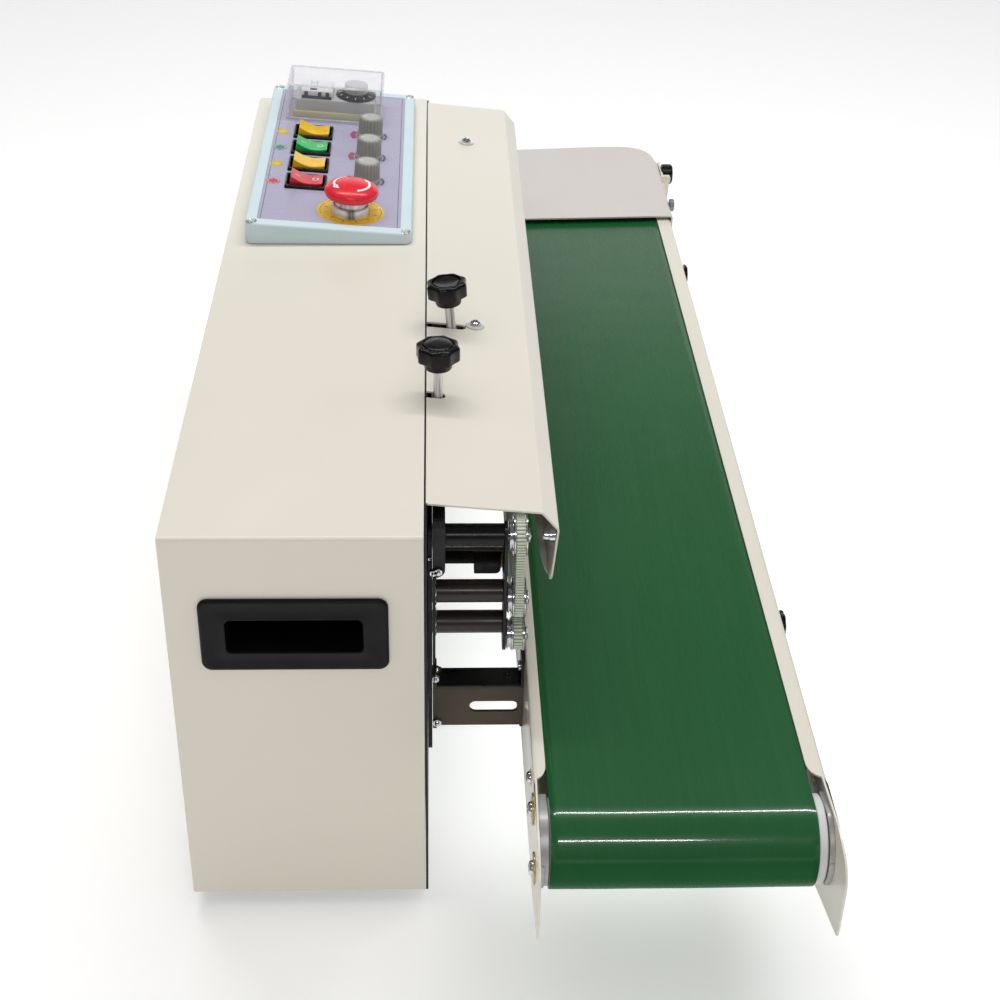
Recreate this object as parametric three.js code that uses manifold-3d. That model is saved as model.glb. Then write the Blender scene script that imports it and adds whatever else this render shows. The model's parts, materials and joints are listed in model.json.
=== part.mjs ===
// Continuous band sealer: a sheet-steel housing with the drive inside, a sealing head on its front
// (two sealing bands, heating and cooling blocks, two bag guide belts) and a belt conveyor hung in front.
// Units are millimetres. X runs along the machine, Y from front to back, Z up.
// Design frame: X = 0 at the housing's left end, Y = 0 at the housing's front, Z = 0 at the housing's lower edge.
// The exported group is moved so that its origin is at the bottom centre of the whole machine.
import * as THREE from 'three';
import { mergeVertices } from 'three/addons/utils/BufferGeometryUtils.js';
import Module from 'manifold-3d';

const wasm = await Module();
wasm.setup();

// ---------------------------------------------------------------- driving dimensions
const GAP = 0.3;                    // clearance between touching pieces
const SHEET = 1.5;                  // housing sheet
const HOUSING_L = 700;
const HOUSING_D = 149.3;
const HOUSING_H = 276.5;
const BASE_T = 5;                   // base plate
const FOOT_H = 14;
const FOOT_R = 14;

const CHASSIS_T = 1.5;              // black front panel, in front of the housing's front edge
const PLATE_T = 2.5;                // head plate on the front panel
const PLATE_X0 = 28, PLATE_X1 = 690, PLATE_Z0 = 94, PLATE_Z1 = 262;

const DRIVE_X = 600;                // axis of the sealing drive wheels
const IDLER_X = 262;                // axis of the sealing idler wheels
const UPPER_Z = 219.5;              // upper wheel axes
const LOWER_Z = 170.1;              // lower wheel axes
const WHEEL_R = 23.3;
const BAND_R = 23.6, BAND_T = 0.7;
const BAND_Y0 = -27, BAND_Y1 = -12;
const WHEEL_Y0 = -28, WHEEL_Y1 = -11;

const GUIDE_X = 35;                 // axes of the three inlet guide pulleys
const GUIDE_A_Z = 254.5, GUIDE_B_Z = 209.4, GUIDE_C_Z = 182.2;
const TUBE_A_Z = 254.5, TUBE_B_Z = 214.3, TUBE_C_Z = 191.4;
const GUIDE_BELT_T = 2.2;
const GUIDE_BELT_Y0 = -61.2, GUIDE_BELT_Y1 = -54.8;

const BELT_W = 151.4;               // conveyor belt width
const CONV_Y = -146.3;              // conveyor centre line, belt
const RAIL_OUT_Y = -61.5;           // inner rail's outer face
const RAIL_MID_Y = -146.25;         // mid plane between the rails
const RAIL_T = 1.2;
const RAIL_TOP = 147, RAIL_BOTTOM = 70;
const RAIL_X1 = 907;
const ROLLER_Z = 120, ROLLER_R = 23.7;
const BELT_R = 24.0, BELT_T = 2.0;
const IDLE_X = -78, DRIVE_ROLLER_X = 868;
const IDLE_Z = 119, IDLE_R = 24.7, IDLE_BELT_R = 25.0, IDLE_RING_R = 26.0;

const GUARD_X0 = 36, GUARD_X1 = 690;
const GUARD_T = 1.2;

const BOX_X0 = 387, BOX_X1 = 685;   // control box
const BOX_Y0 = 10, BOX_Y1 = 135;
const BOX_FRONT_Z = 285, BOX_BACK_Z = 294;
const PANEL_TILT = Math.atan((BOX_BACK_Z - BOX_FRONT_Z) / (BOX_Y1 - BOX_Y0));

const KNOB_A = { x: 260, y: -18, tilt: 6 };
const KNOB_B = { x: 163, y: -8.6, tilt: 0 };

const SEG = 18;

// ---------------------------------------------------------------- solid helpers
function weld(geometry) {
  const g = geometry.index ? geometry.clone() : geometry.clone();
  g.deleteAttribute('normal');
  g.deleteAttribute('uv');
  const m = mergeVertices(g, 1e-4);
  const idx = m.index.array, pos = m.attributes.position.array;
  const keep = [];
  for (let i = 0; i < idx.length; i += 3) {
    const [a, b, c] = [idx[i], idx[i + 1], idx[i + 2]];
    if (a !== b && b !== c && a !== c) keep.push(a, b, c);
  }
  let vol = 0;
  for (let i = 0; i < keep.length; i += 3) {
    const [a, b, c] = [keep[i] * 3, keep[i + 1] * 3, keep[i + 2] * 3];
    vol += pos[a] * (pos[b + 1] * pos[c + 2] - pos[b + 2] * pos[c + 1])
      - pos[a + 1] * (pos[b] * pos[c + 2] - pos[b + 2] * pos[c])
      + pos[a + 2] * (pos[b] * pos[c + 1] - pos[b + 1] * pos[c]);
  }
  if (vol < 0) for (let i = 0; i < keep.length; i += 3) [keep[i + 1], keep[i + 2]] = [keep[i + 2], keep[i + 1]];
  const out = new THREE.BufferGeometry();
  out.setAttribute('position', new THREE.BufferAttribute(new Float32Array(pos), 3));
  out.setIndex(keep);
  return out;
}
function toSolid(geometry) {
  const g = weld(geometry);
  return new wasm.Manifold(new wasm.Mesh({
    numProp: 3,
    vertProperties: new Float32Array(g.attributes.position.array),
    triVerts: new Uint32Array(g.index.array),
  }));
}
function toGeometry(manifold) {
  const m = manifold.getMesh();
  const g = new THREE.BufferGeometry();
  g.setAttribute('position', new THREE.BufferAttribute(new Float32Array(m.vertProperties), 3));
  g.setIndex(Array.from(m.triVerts));
  return g;
}
const join = (...gs) => toGeometry(gs.map(toSolid).reduce((a, b) => a.add(b)));
const cut = (g, ...gs) => toGeometry(gs.map(toSolid).reduce((a, b) => a.subtract(b), toSolid(g)));

function box(x0, x1, y0, y1, z0, z1) {
  return new THREE.BoxGeometry(x1 - x0, y1 - y0, z1 - z0).translate((x0 + x1) / 2, (y0 + y1) / 2, (z0 + z1) / 2);
}
function shapeOf(points, holes = []) {
  const s = new THREE.Shape(points.map(([a, b]) => new THREE.Vector2(a, b)));
  for (const h of holes) s.holes.push(new THREE.Path(h.map(([a, b]) => new THREE.Vector2(a, b))));
  return s;
}
function extrude(points, depth, holes) {
  return new THREE.ExtrudeGeometry(shapeOf(points, holes), { depth, bevelEnabled: false, steps: 1 });
}
// outline in (x, y), height along z
const prismZ = (pts, z0, z1, holes) => extrude(pts, z1 - z0, holes).translate(0, 0, z0);
// outline in (x, z), depth along y
const prismY = (pts, y0, y1, holes) => extrude(pts, y1 - y0, holes).rotateX(Math.PI / 2).translate(0, y1, 0);
// outline in (y, z), length along x
const CYCLE = new THREE.Matrix4().makeBasis(new THREE.Vector3(0, 1, 0), new THREE.Vector3(0, 0, 1), new THREE.Vector3(1, 0, 0));
const prismX = (pts, x0, x1, holes) => extrude(pts, x1 - x0, holes).applyMatrix4(CYCLE).translate(x0, 0, 0);

function circle(cx, cy, r, n = SEG, phase = 0) {
  return Array.from({ length: n }, (_, i) => {
    const a = phase + (i / n) * 2 * Math.PI;
    return [cx + r * Math.cos(a), cy + r * Math.sin(a)];
  });
}
function rounded(x0, x1, y0, y1, r, n = 4) {
  const pts = [];
  for (const [cx, cy, a0] of [[x1 - r, y1 - r, 0], [x0 + r, y1 - r, 90], [x0 + r, y0 + r, 180], [x1 - r, y0 + r, 270]])
    for (let i = 0; i <= n; i++) {
      const a = ((a0 + (90 * i) / n) * Math.PI) / 180;
      pts.push([cx + r * Math.cos(a), cy + r * Math.sin(a)]);
    }
  return pts;
}
// turned piece: profile of [radius, height] pairs
function lathe(profile, seg = SEG) {
  return new THREE.LatheGeometry(profile.map(([r, h]) => new THREE.Vector2(r, h)), seg);
}
const alongY = (g) => g;                                   // height along +Y
const alongZ = (g) => g.rotateX(Math.PI / 2);              // height along +Z
function rodY(x, z, r, y0, y1, seg = SEG) {
  return lathe([[0, y0], [r, y0], [r, y1], [0, y1]], seg).translate(x, 0, z);
}
function rodZ(x, y, r, z0, z1, seg = SEG) {
  return alongZ(lathe([[0, z0], [r, z0], [r, z1], [0, z1]], seg)).translate(x, y, 0);
}
// closed loop (belt, band, chain) round circles [x, z, r], thickness t
function hull(points) {
  const p = points.slice().sort((a, b) => a[0] - b[0] || a[1] - b[1]);
  const cross = (o, a, b) => (a[0] - o[0]) * (b[1] - o[1]) - (a[1] - o[1]) * (b[0] - o[0]);
  const half = (list) => {
    const h = [];
    for (const q of list) {
      while (h.length >= 2 && cross(h[h.length - 2], h[h.length - 1], q) <= 1e-9) h.pop();
      h.push(q);
    }
    h.pop();
    return h;
  };
  return half(p).concat(half(p.reverse()));
}
function loop(circles, t, y0, y1, n = 32) {
  const ring = (grow) => hull(circles.flatMap(([x, z, r]) => circle(x, z, r + grow, n)));
  return prismY(ring(t), y0, y1, [ring(0)]);
}

// ---------------------------------------------------------------- scene graph
const design = new THREE.Group();
const MATERIALS = {
  beige_paint: { color: 0xd9d4c6, roughness: 0.45, metalness: 0.1 },
  black_paint: { color: 0x1b1b1f, roughness: 0.5, metalness: 0.2 },
  brown_steel: { color: 0x5a5048, roughness: 0.45, metalness: 0.6 },
  zinc_steel: { color: 0xb4b8bb, roughness: 0.35, metalness: 0.9 },
  bright_steel: { color: 0xd0d2d4, roughness: 0.2, metalness: 1.0 },
  cast_grey: { color: 0x8d9194, roughness: 0.6, metalness: 0.6 },
  black_plastic: { color: 0x202026, roughness: 0.5, metalness: 0.0 },
  grey_plastic: { color: 0x6f7573, roughness: 0.55, metalness: 0.0 },
  pale_plastic: { color: 0xbecdcd, roughness: 0.45, metalness: 0.0 },
  light_plastic: { color: 0xcfd2d0, roughness: 0.5, metalness: 0.0 },
  red_plastic: { color: 0xd8202c, roughness: 0.3, metalness: 0.0 },
  dark_red_plastic: { color: 0xb01024, roughness: 0.35, metalness: 0.0 },
  yellow_plastic: { color: 0xe8b800, roughness: 0.35, metalness: 0.0 },
  green_plastic: { color: 0x0fae50, roughness: 0.35, metalness: 0.0 },
  clear_plastic: { color: 0xe6ecef, roughness: 0.1, metalness: 0.0 },
  green_belt: { color: 0x2b6b3e, roughness: 0.4, metalness: 0.0 },
  white_belt: { color: 0xdfe2d6, roughness: 0.6, metalness: 0.0 },
  brown_band: { color: 0x6b4c2a, roughness: 0.5, metalness: 0.0 },
  rubber: { color: 0x1c1c1c, roughness: 0.8, metalness: 0.0 },
  warm_grey_paint: { color: 0xd0cbc6, roughness: 0.4, metalness: 0.1 },
  brass: { color: 0xb89a4a, roughness: 0.35, metalness: 0.9 },
  aluminium: { color: 0xa8acb0, roughness: 0.4, metalness: 0.9 },
};
const materials = Object.fromEntries(Object.entries(MATERIALS).map(([k, v]) => {
  const m = new THREE.MeshStandardMaterial({ ...v, flatShading: true });
  m.name = k;
  return [k, m];
}));
function add(name, geometry, material, parent = design, position = [0, 0, 0], rotation = [0, 0, 0]) {
  const mesh = new THREE.Mesh(weld(geometry), materials[material].clone());
  mesh.name = name;
  mesh.position.set(...position);
  mesh.rotation.set(...rotation);
  parent.add(mesh);
  return mesh;
}
const rectXZ = (x0, x1, z0, z1) => [[x0, z0], [x1, z0], [x1, z1], [x0, z1]];

// ---------------------------------------------------------------- housing
const WALL_TOP = HOUSING_H - SHEET - GAP;
add('base_plate', box(SHEET + GAP, HOUSING_L - SHEET - GAP, GAP, HOUSING_D - SHEET - GAP, 0.5, 0.5 + BASE_T), 'zinc_steel');
add('front_panel', prismY(rectXZ(0.4, HOUSING_L - 0.4, 0, WALL_TOP), -GAP - CHASSIS_T, -GAP,
  [circle(DRIVE_X, UPPER_Z, 8, 16), circle(DRIVE_X, LOWER_Z, 8, 16)]), 'black_paint');
add('top_cover', prismZ([[0, 0], [HOUSING_L, 0], [HOUSING_L, HOUSING_D], [0, HOUSING_D]],
  HOUSING_H - SHEET, HOUSING_H, [rounded(500, 560, 55, 90, 5, 3)]), 'beige_paint');

const HANDLE = { y0: 20.5, y1: 129.7, z0: 184.5, z1: 235, depth: 38 };
const handleHole = rounded(HANDLE.y0 + 4.5, HANDLE.y1 - 4.5, HANDLE.z0 + 4, HANDLE.z1 - 4, 4, 3);
const endOutline = [[0, 0], [HOUSING_D, 0], [HOUSING_D, WALL_TOP], [0, WALL_TOP]];
add('left_end_panel', prismX(endOutline, 0, SHEET, [handleHole]), 'beige_paint');
add('right_end_panel', prismX(endOutline, HOUSING_L - SHEET, HOUSING_L, [handleHole]), 'beige_paint');

const vents = [];
for (let i = 0; i < 4; i++) {
  vents.push(rounded(90, 190, 150 + i * 16, 155 + i * 16, 2.4, 1));
  vents.push(rounded(520, 620, 150 + i * 16, 155 + i * 16, 2.4, 1));
}
vents.push(rounded(640, 668, 30, 50, 2, 1));
add('rear_cover', prismY(rectXZ(SHEET + GAP, HOUSING_L - SHEET - GAP, 0, WALL_TOP),
  HOUSING_D - SHEET, HOUSING_D, vents), 'beige_paint');

// recessed carrying handle: bezel outside the panel, cup inside, finger hook behind the upper lip
function handleCup() {
  const bezel = prismX(rounded(HANDLE.y0, HANDLE.y1, HANDLE.z0, HANDLE.z1, 6, 4), -2.8, -GAP);
  const cup = prismX(rounded(HANDLE.y0 + 6, HANDLE.y1 - 6, HANDLE.z0 + 5.5, HANDLE.z1 - 5.5, 4, 3), -1, HANDLE.depth);
  const mouth = prismX(rounded(34, 115, 196, 220, 3, 3), -4, HANDLE.depth - 2.5);
  const hook = prismX(rounded(34, 115, 196, 227, 3, 3), 5, HANDLE.depth - 2.5);
  return cut(join(bezel, cup), mouth, hook);
}
add('left_handle', handleCup(), 'black_plastic');
add('right_handle', handleCup().clone().applyMatrix4(new THREE.Matrix4().makeRotationZ(Math.PI)), 'black_plastic',
  design, [HOUSING_L, 150.2, 0]);

for (const [name, x, y] of [['foot_front_left', 45, 14.5], ['foot_front_right', 655, 14.5],
  ['foot_rear_left', 45, 130], ['foot_rear_right', 655, 130]])
  add(name, alongZ(lathe([[0, 0], [FOOT_R - 2, 0], [FOOT_R - 1, 1], [FOOT_R, FOOT_H + 0.2], [0, FOOT_H + 0.2]], 16)),
    'rubber', design, [x, y, -FOOT_H]);

// gearbox behind the front panel with the motor on its back
add('drive_gearmotor', cut(
  join(box(DRIVE_X - 42, DRIVE_X + 42, 0.2, 52, 140, 250), rodY(DRIVE_X, 192, 45, 44, 144, 24)),
  rodY(DRIVE_X, UPPER_Z, 6.6, -1, 42, 16), rodY(DRIVE_X, LOWER_Z, 6.6, -1, 42, 16)), 'cast_grey');

// ---------------------------------------------------------------- sealing head
const HP1 = -GAP - CHASSIS_T - GAP, HP0 = HP1 - PLATE_T;       // head plate faces
const HEAD = HP0 - GAP;                                        // first free plane in front of the head plate
add('head_plate', join(
  prismY(rounded(PLATE_X0, PLATE_X1, PLATE_Z0, PLATE_Z1, 5, 3), HP0, HP1,
    [circle(DRIVE_X, UPPER_Z, 8, 16), circle(DRIVE_X, LOWER_Z, 8, 16)]),
  box(596, 610, -41, HP1 - 0.5, 255, 261.5),
  rodZ(603, -33.9, 4, 258, 271.0, 12)), 'black_paint');

// inlet bearing block: three tubes with an end plate, the support bar of the pressure screws and a lug
add('inlet_bearing_block', cut(join(
  box(22, 48, HEAD - 1.7, HEAD, 170, 240),
  box(22, 230, -12.3, HEAD, 233, 268),
  prismY(rounded(25, 45, 173, 262, 8, 4), -48.5, -46.5),
  box(226, 278, -41, HEAD, 249, 261.5),
  rodZ(264, -34.4, 4, 258, 270.8, 12),
  ...[TUBE_A_Z, TUBE_B_Z, TUBE_C_Z].map((z) => rodY(GUIDE_X, z, 7, -47, HEAD, 16))),
  ...[GUIDE_A_Z, GUIDE_B_Z, GUIDE_C_Z].map((z) => rodY(GUIDE_X, z, 4.5, -60, -40, 12)),
  rodZ(KNOB_B.x, KNOB_B.y, 3.5, 238, 280, 12),
  rodZ(KNOB_A.x, -20.0, 4.3, 240, 280, 14)), 'black_paint');

// bag guide pulleys: stub shaft in the end plate, hub and a flanged pulley
function guidePulley(r, groove) {
  return lathe([[0, -65], [5, -65], [5, -63], [r, -63], [r, -61.5], [groove, -61.5], [groove, -54.5], [r, -54.5],
    [r, -53], [9, -53], [9, -48.8], [4, -48.8], [4, -41], [0, -41]]);
}
add('guide_pulley_top', guidePulley(12.5, 9.5), 'bright_steel', design, [GUIDE_X, 0, GUIDE_A_Z]);
add('guide_pulley_middle', guidePulley(12.5, 9.5), 'bright_steel', design, [GUIDE_X, 0, GUIDE_B_Z]);
add('guide_pulley_lower', guidePulley(10.5, 7.5), 'bright_steel', design, [GUIDE_X, 0, GUIDE_C_Z]);

// guide pulley on the drive shaft; the lower one has no outer flange, because it turns close behind the rail
const farPulley = (flange) => [...(flange ? [[0, -65], [5, -65], [5, -63], [24.3, -63], [24.3, -61.5], [21.7, -61.5]] : [[0, -61.2], [21.7, -61.2]]),
  [21.7, -54.5], [24.3, -54.5], [24.3, -53], [9, -53], [9, -49]];
add('upper_drive_wheel', lathe([...farPulley(true), [6, -49], [6, WHEEL_Y0], [WHEEL_R, WHEEL_Y0], [WHEEL_R, WHEEL_Y1], [6, WHEEL_Y1], [6, 38], [0, 38]], 20),
  'aluminium', design, [DRIVE_X, 0, UPPER_Z]);
add('lower_drive_wheel', lathe([...farPulley(false), [6, -49], [6, -37.5], [19.2, -37.5], [19.2, -34.5], [6, -34.5], [6, WHEEL_Y0], [WHEEL_R, WHEEL_Y0], [WHEEL_R, WHEEL_Y1], [6, WHEEL_Y1], [6, 38], [0, 38]], 20),
  'aluminium', design, [DRIVE_X, 0, LOWER_Z]);
const idler = [[0, -31], [7, -31], [7, WHEEL_Y0], [WHEEL_R, WHEEL_Y0], [WHEEL_R, WHEEL_Y1], [5, WHEEL_Y1], [5, HEAD - 0.1], [0, HEAD - 0.1]];
add('upper_idler_wheel', lathe(idler, 20), 'aluminium', design, [IDLER_X, 0, UPPER_Z]);
add('lower_idler_wheel', lathe(idler, 20), 'aluminium', design, [IDLER_X, 0, LOWER_Z]);

add('upper_seal_band', loop([[IDLER_X, UPPER_Z, BAND_R], [DRIVE_X, UPPER_Z, BAND_R]], BAND_T, BAND_Y0, BAND_Y1), 'brown_band');
add('lower_seal_band', loop([[IDLER_X, LOWER_Z, BAND_R], [DRIVE_X, LOWER_Z, BAND_R]], BAND_T, BAND_Y0, BAND_Y1), 'brown_band');
add('upper_guide_belt', loop([[GUIDE_X, GUIDE_A_Z, 9.8], [GUIDE_X, GUIDE_B_Z, 9.8], [DRIVE_X, UPPER_Z, 22.0]], GUIDE_BELT_T, GUIDE_BELT_Y0, GUIDE_BELT_Y1, 24), 'white_belt');
add('lower_guide_belt', loop([[GUIDE_X, GUIDE_C_Z, 7.8], [DRIVE_X, LOWER_Z, 22.0]], GUIDE_BELT_T, GUIDE_BELT_Y0, GUIDE_BELT_Y1, 32), 'white_belt');

// heating blocks (with a heater cartridge bore) and finned cooling blocks
const heater = (z0, z1, zc) => prismX(rounded(-29.5, HEAD, z0, z1, 1, 2), 300, 398, [circle(-17, zc, 4, 12)]);
add('upper_heating_block', heater(196.3, 226, 212), 'brass');
add('lower_heating_block', heater(163.6, 193.3, 177.6), 'brass');
function finned(z0, z1, up) {
  const pts = [];
  const n = 9, x0 = 414, x1 = 540, root = up ? z0 + 12 : z1 - 12, tip = up ? z1 : z0, face = up ? z0 : z1;
  const w = (x1 - x0) / (2 * n - 1);
  pts.push([x0, face]);
  for (let i = 0; i < n; i++) {
    const a = x0 + 2 * i * w;
    if (i > 0) pts.push([a, root]);
    pts.push([a, tip], [a + w, tip]);
    if (i < n - 1) pts.push([a + w, root]);
  }
  pts.push([x1, face]);
  return prismY(pts, -29.5, HEAD);
}
add('upper_cooling_block', finned(196.3, 226, true), 'aluminium');
add('lower_cooling_block', finned(163.6, 193.3, false), 'aluminium');

// guard over the head: flat sloped to the front, bevel, flap; two slots open to the back, two screw holes
const guardOuter = [[-2.3, 275.9], [-68.4, 269.6], [-70.2, 269.0], [-79.2, 258.1], [-79.5, 256.6], [-76.2, 220]];
const guardInner = [[-75.0, 220.0], [-78.2, 256.3], [-78.1, 257.5], [-69.6, 267.9], [-68.2, 268.4], [-2.3, 274.7]];
const guardHoles = [
  box(KNOB_A.x - 3.5, KNOB_A.x + 3.5, -24.6, 2, 260, 290), rodZ(KNOB_A.x, -24.6, 3.5, 260, 290, 14),
  box(KNOB_B.x - 4, KNOB_B.x + 4, -9.4, 2, 260, 290), rodZ(KNOB_B.x, -9.4, 4, 260, 290, 14),
  rodZ(264, -34.4, 2.6, 260, 290, 12), rodZ(603, -33.9, 2.6, 260, 290, 12),
];
add('guard_cover', cut(prismX([...guardOuter, ...guardInner], GUARD_X0, GUARD_X1), ...guardHoles), 'beige_paint');

// star knobs on their studs
function starKnob(studLength, studR) {
  const pts = [];
  for (let i = 0; i < 32; i++) {
    const a = (i / 32) * 2 * Math.PI;
    const r = 13.4 + 0.9 * Math.cos(8 * a);
    pts.push([r * Math.cos(a), r * Math.sin(a)]);
  }
  return join(prismZ(pts, 6.6, 16.6), alongZ(lathe([[0, 0], [8.8, 0], [9.6, 7.6], [10.4, 16.6], [10.4, 17.7], [0, 17.7]], 18)),
    rodZ(0, 0, studR, -studLength, 1, 12));
}
const KNOB_HUB_A = 292, KNOB_HUB_B = 295.5;
const ta = (KNOB_A.tilt * Math.PI) / 180;
const knobAY = KNOB_A.y + (KNOB_HUB_A - 274) * Math.tan(ta);
add('pressure_knob_a', starKnob(44.9, 3), 'black_plastic', design, [KNOB_A.x, knobAY, KNOB_HUB_A], [-ta, 0, 0]);
add('pressure_knob_b', starKnob(52.5, 3), 'black_plastic', design, [KNOB_B.x, KNOB_B.y, KNOB_HUB_B]);

// ---------------------------------------------------------------- control box and controls, on the tilted panel
const panel = new THREE.Group();
panel.position.set(0, BOX_Y0, BOX_FRONT_Z);
panel.rotation.x = PANEL_TILT;
design.add(panel);
// panel frame: x along the machine, t up the slope from the front edge, h normal to the panel
const BOX_T = (BOX_Y1 - BOX_Y0) / Math.cos(PANEL_TILT);
const ROCKER_X = [471.5, 506.5, 541.5, 576.5];
const ROCKER_T = 84.2;
const wedge = cut(
  prismZ(rounded(BOX_X0, BOX_X1, BOX_Y0, BOX_Y1, 7, 4), HOUSING_H + GAP, 300),
  new THREE.BoxGeometry(400, 200, 60).translate(536, 80, 30).applyMatrix4(
    new THREE.Matrix4().makeRotationX(PANEL_TILT).setPosition(0, BOX_Y0, BOX_FRONT_Z)));
const pocket = (g) => g.applyMatrix4(new THREE.Matrix4().makeRotationX(PANEL_TILT).setPosition(0, BOX_Y0, BOX_FRONT_Z));
add('control_box', cut(wedge,
  pocket(prismZ(rounded(BOX_X0 + 10, BOX_X1 - 10, 9, BOX_T - 9, 2, 2), -1, 5)),
  ...ROCKER_X.map((x) => pocket(box(x - 10.3, x + 10.3, ROCKER_T - 14.4, ROCKER_T + 14.4, -11.5, 5)))), 'pale_plastic');

const rockerColours = ['dark_red_plastic', 'yellow_plastic', 'green_plastic', 'yellow_plastic'];
ROCKER_X.forEach((x, i) => {
  const tilt = (9 * Math.PI) / 180;
  const profile = [[-12.5, -4], [12.5, -4], [12.5, 5.2], [6, 3.2], [0, 2.6], [-6, 3.2], [-12.5, 5.2]]
    .map(([t, h]) => [t * Math.cos(tilt) - h * Math.sin(tilt), t * Math.sin(tilt) + h * Math.cos(tilt)]);
  add(`rocker_${i + 1}`, prismX(profile, -9.4, 9.4), rockerColours[i], panel, [x, ROCKER_T, 0.5]);
});

function ribbedKnob() {
  const pts = [];
  for (let i = 0; i < 28; i++) {
    const a = (i / 28) * 2 * Math.PI;
    const r = i % 2 ? 9.2 : 10.1;
    pts.push([r * Math.cos(a), r * Math.sin(a)]);
  }
  return join(prismZ(pts, 2.5, 16.5), alongZ(lathe([[0, 0], [11, 0], [11, 3], [8.6, 3.2], [8.6, 17.2], [0, 17.2]], 16)));
}
[[484, 'speed_knob'], [533, 'heat_knob'], [580, 'fan_knob']].forEach(([x, name]) =>
  add(name, ribbedKnob(), 'grey_plastic', panel, [x, 37.1, -0.6]));

const ESTOP = { x: 421, t: 47.3 };
add('estop_collar', alongZ(lathe([[8.6, 0], [14.5, 0], [14.5, 5], [13, 7.2], [8.6, 7.2], [8.6, 0]], 20)), 'bright_steel', panel, [ESTOP.x, ESTOP.t, -0.6]);
add('estop_button', alongZ(lathe([[0, 4.3], [7.6, 4.3], [7.6, 12.4], [17.5, 12.4], [20.2, 15], [20.5, 17], [19, 20.2], [14.5, 22.6], [0, 24.2]], 24)),
  'red_plastic', panel, [ESTOP.x, ESTOP.t, 0]);

// temperature controller with its setting dial, under a hinged clear cover
add('temperature_controller', join(
  box(612, 650, 33.5, 104, -0.7, 5), box(614.5, 648, 35, 102.5, 4, 15), box(618, 645, 70, 98, 14, 21)), 'light_plastic', panel);
add('temperature_dial', alongZ(lathe([[0, 0], [17, 0], [17, 1.2], [10.2, 3.4], [9.8, 10.6], [0, 10.6]], 22)), 'black_plastic', panel, [630.5, 51.6, 15.3]);
const COVER = { x0: 606, x1: 655, t0: 28.2, t1: 109.2, h: 30, wall: 1.6 };
add('clear_cover', cut(prismZ(rounded(COVER.x0, COVER.x1, COVER.t0, COVER.t1, 2.5, 3), -0.6, COVER.h),
  box(COVER.x0 + COVER.wall, COVER.x1 - COVER.wall, COVER.t0 + COVER.wall, COVER.t1 - COVER.wall, -3, COVER.h - COVER.wall)), 'clear_plastic', panel);

// ---------------------------------------------------------------- conveyor
const mirrorY = (y) => 2 * RAIL_MID_Y - y;
function rail(right) {
  const m = (y) => (right ? mirrorY(y) : y);
  const span = (a, b) => [Math.min(m(a), m(b)), Math.max(m(a), m(b))];
  const nose = right ? [[-128.3, 128], [-127.2, 132.5], [-124.5, 137.5], [-121, 141], [-112, 144.2], [-97, RAIL_TOP]]
    : [[-128.3, 126], [-125.5, 133.5], [-119.5, 139.6], [-109, 144.8], [-97, RAIL_TOP]];
  const web = [[-77.6, 77.9], [-127, 91.6], [-128.3, 100], ...nose,
    [RAIL_X1, RAIL_TOP], [RAIL_X1, RAIL_BOTTOM], [-50, RAIL_BOTTOM]];
  const w = span(RAIL_OUT_Y, RAIL_OUT_Y - RAIL_T);
  const flangeEdge = -70.2;
  const flange = [[-56, RAIL_OUT_Y], [-56, -62.6], [-54.5, -65.5], [-51.5, -68.3], [-46, -70], [-42, flangeEdge], [RAIL_X1, flangeEdge], [RAIL_X1, RAIL_OUT_Y]]
    .map(([x, y]) => [x, m(y)]);
  const b = span(RAIL_OUT_Y, -73);
  return cut(join(prismY(web, w[0], w[1]), prismZ(flange, RAIL_TOP - RAIL_T, RAIL_TOP), box(-40, RAIL_X1, b[0], b[1], RAIL_BOTTOM, RAIL_BOTTOM + RAIL_T)),
    rodY(DRIVE_ROLLER_X, ROLLER_Z, 6.8, w[0] - 5, w[1] + 5, 20));
}
add('left_rail', rail(false), 'beige_paint');
add('right_rail', rail(true), 'beige_paint');
add('slider_bed', box(-45, 838, mirrorY(RAIL_OUT_Y - RAIL_T - GAP), RAIL_OUT_Y - RAIL_T - GAP, 142.4, 143.5), 'aluminium');

const BELT_Y0 = CONV_Y - BELT_W / 2, BELT_Y1 = CONV_Y + BELT_W / 2;
add('conveyor_belt', loop([[IDLE_X, IDLE_Z, IDLE_BELT_R], [DRIVE_ROLLER_X, ROLLER_Z, BELT_R]], BELT_T, BELT_Y0, BELT_Y1, 40), 'green_belt');

add('idle_roller', lathe([[5.5, -226.8], [IDLE_RING_R, -226.8], [IDLE_RING_R, BELT_Y0 - GAP], [IDLE_R, BELT_Y0 - GAP], [IDLE_R, BELT_Y1 + GAP],
  [IDLE_RING_R, BELT_Y1 + GAP], [IDLE_RING_R, -65.7], [5.5, -65.7], [5.5, -226.8]], 26), 'light_plastic', design, [IDLE_X, 0, IDLE_Z]);
add('idle_axle', join(rodY(0, 0, 5, -229.2, -63.3, 12), rodY(0, 0, 20, -229.2, -227.1, 20), rodY(0, 0, 20, -65.4, -63.3, 20)),
  'cast_grey', design, [IDLE_X, 0, IDLE_Z]);
add('drive_roller', lathe([[0, -234], [6, -234], [6, BELT_Y0], [ROLLER_R, BELT_Y0], [ROLLER_R, BELT_Y1], [6, BELT_Y1],
  [6, -37.5], [20, -37.5], [20, -34.5], [6, -34.5], [6, -31], [0, -31]], 24), 'aluminium', design, [DRIVE_ROLLER_X, 0, ROLLER_Z]);
add('drive_chain', loop([[DRIVE_X, LOWER_Z, 19.5], [DRIVE_ROLLER_X, ROLLER_Z, 20.3]], 3, -38.4, -33.6, 24), 'cast_grey');

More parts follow.
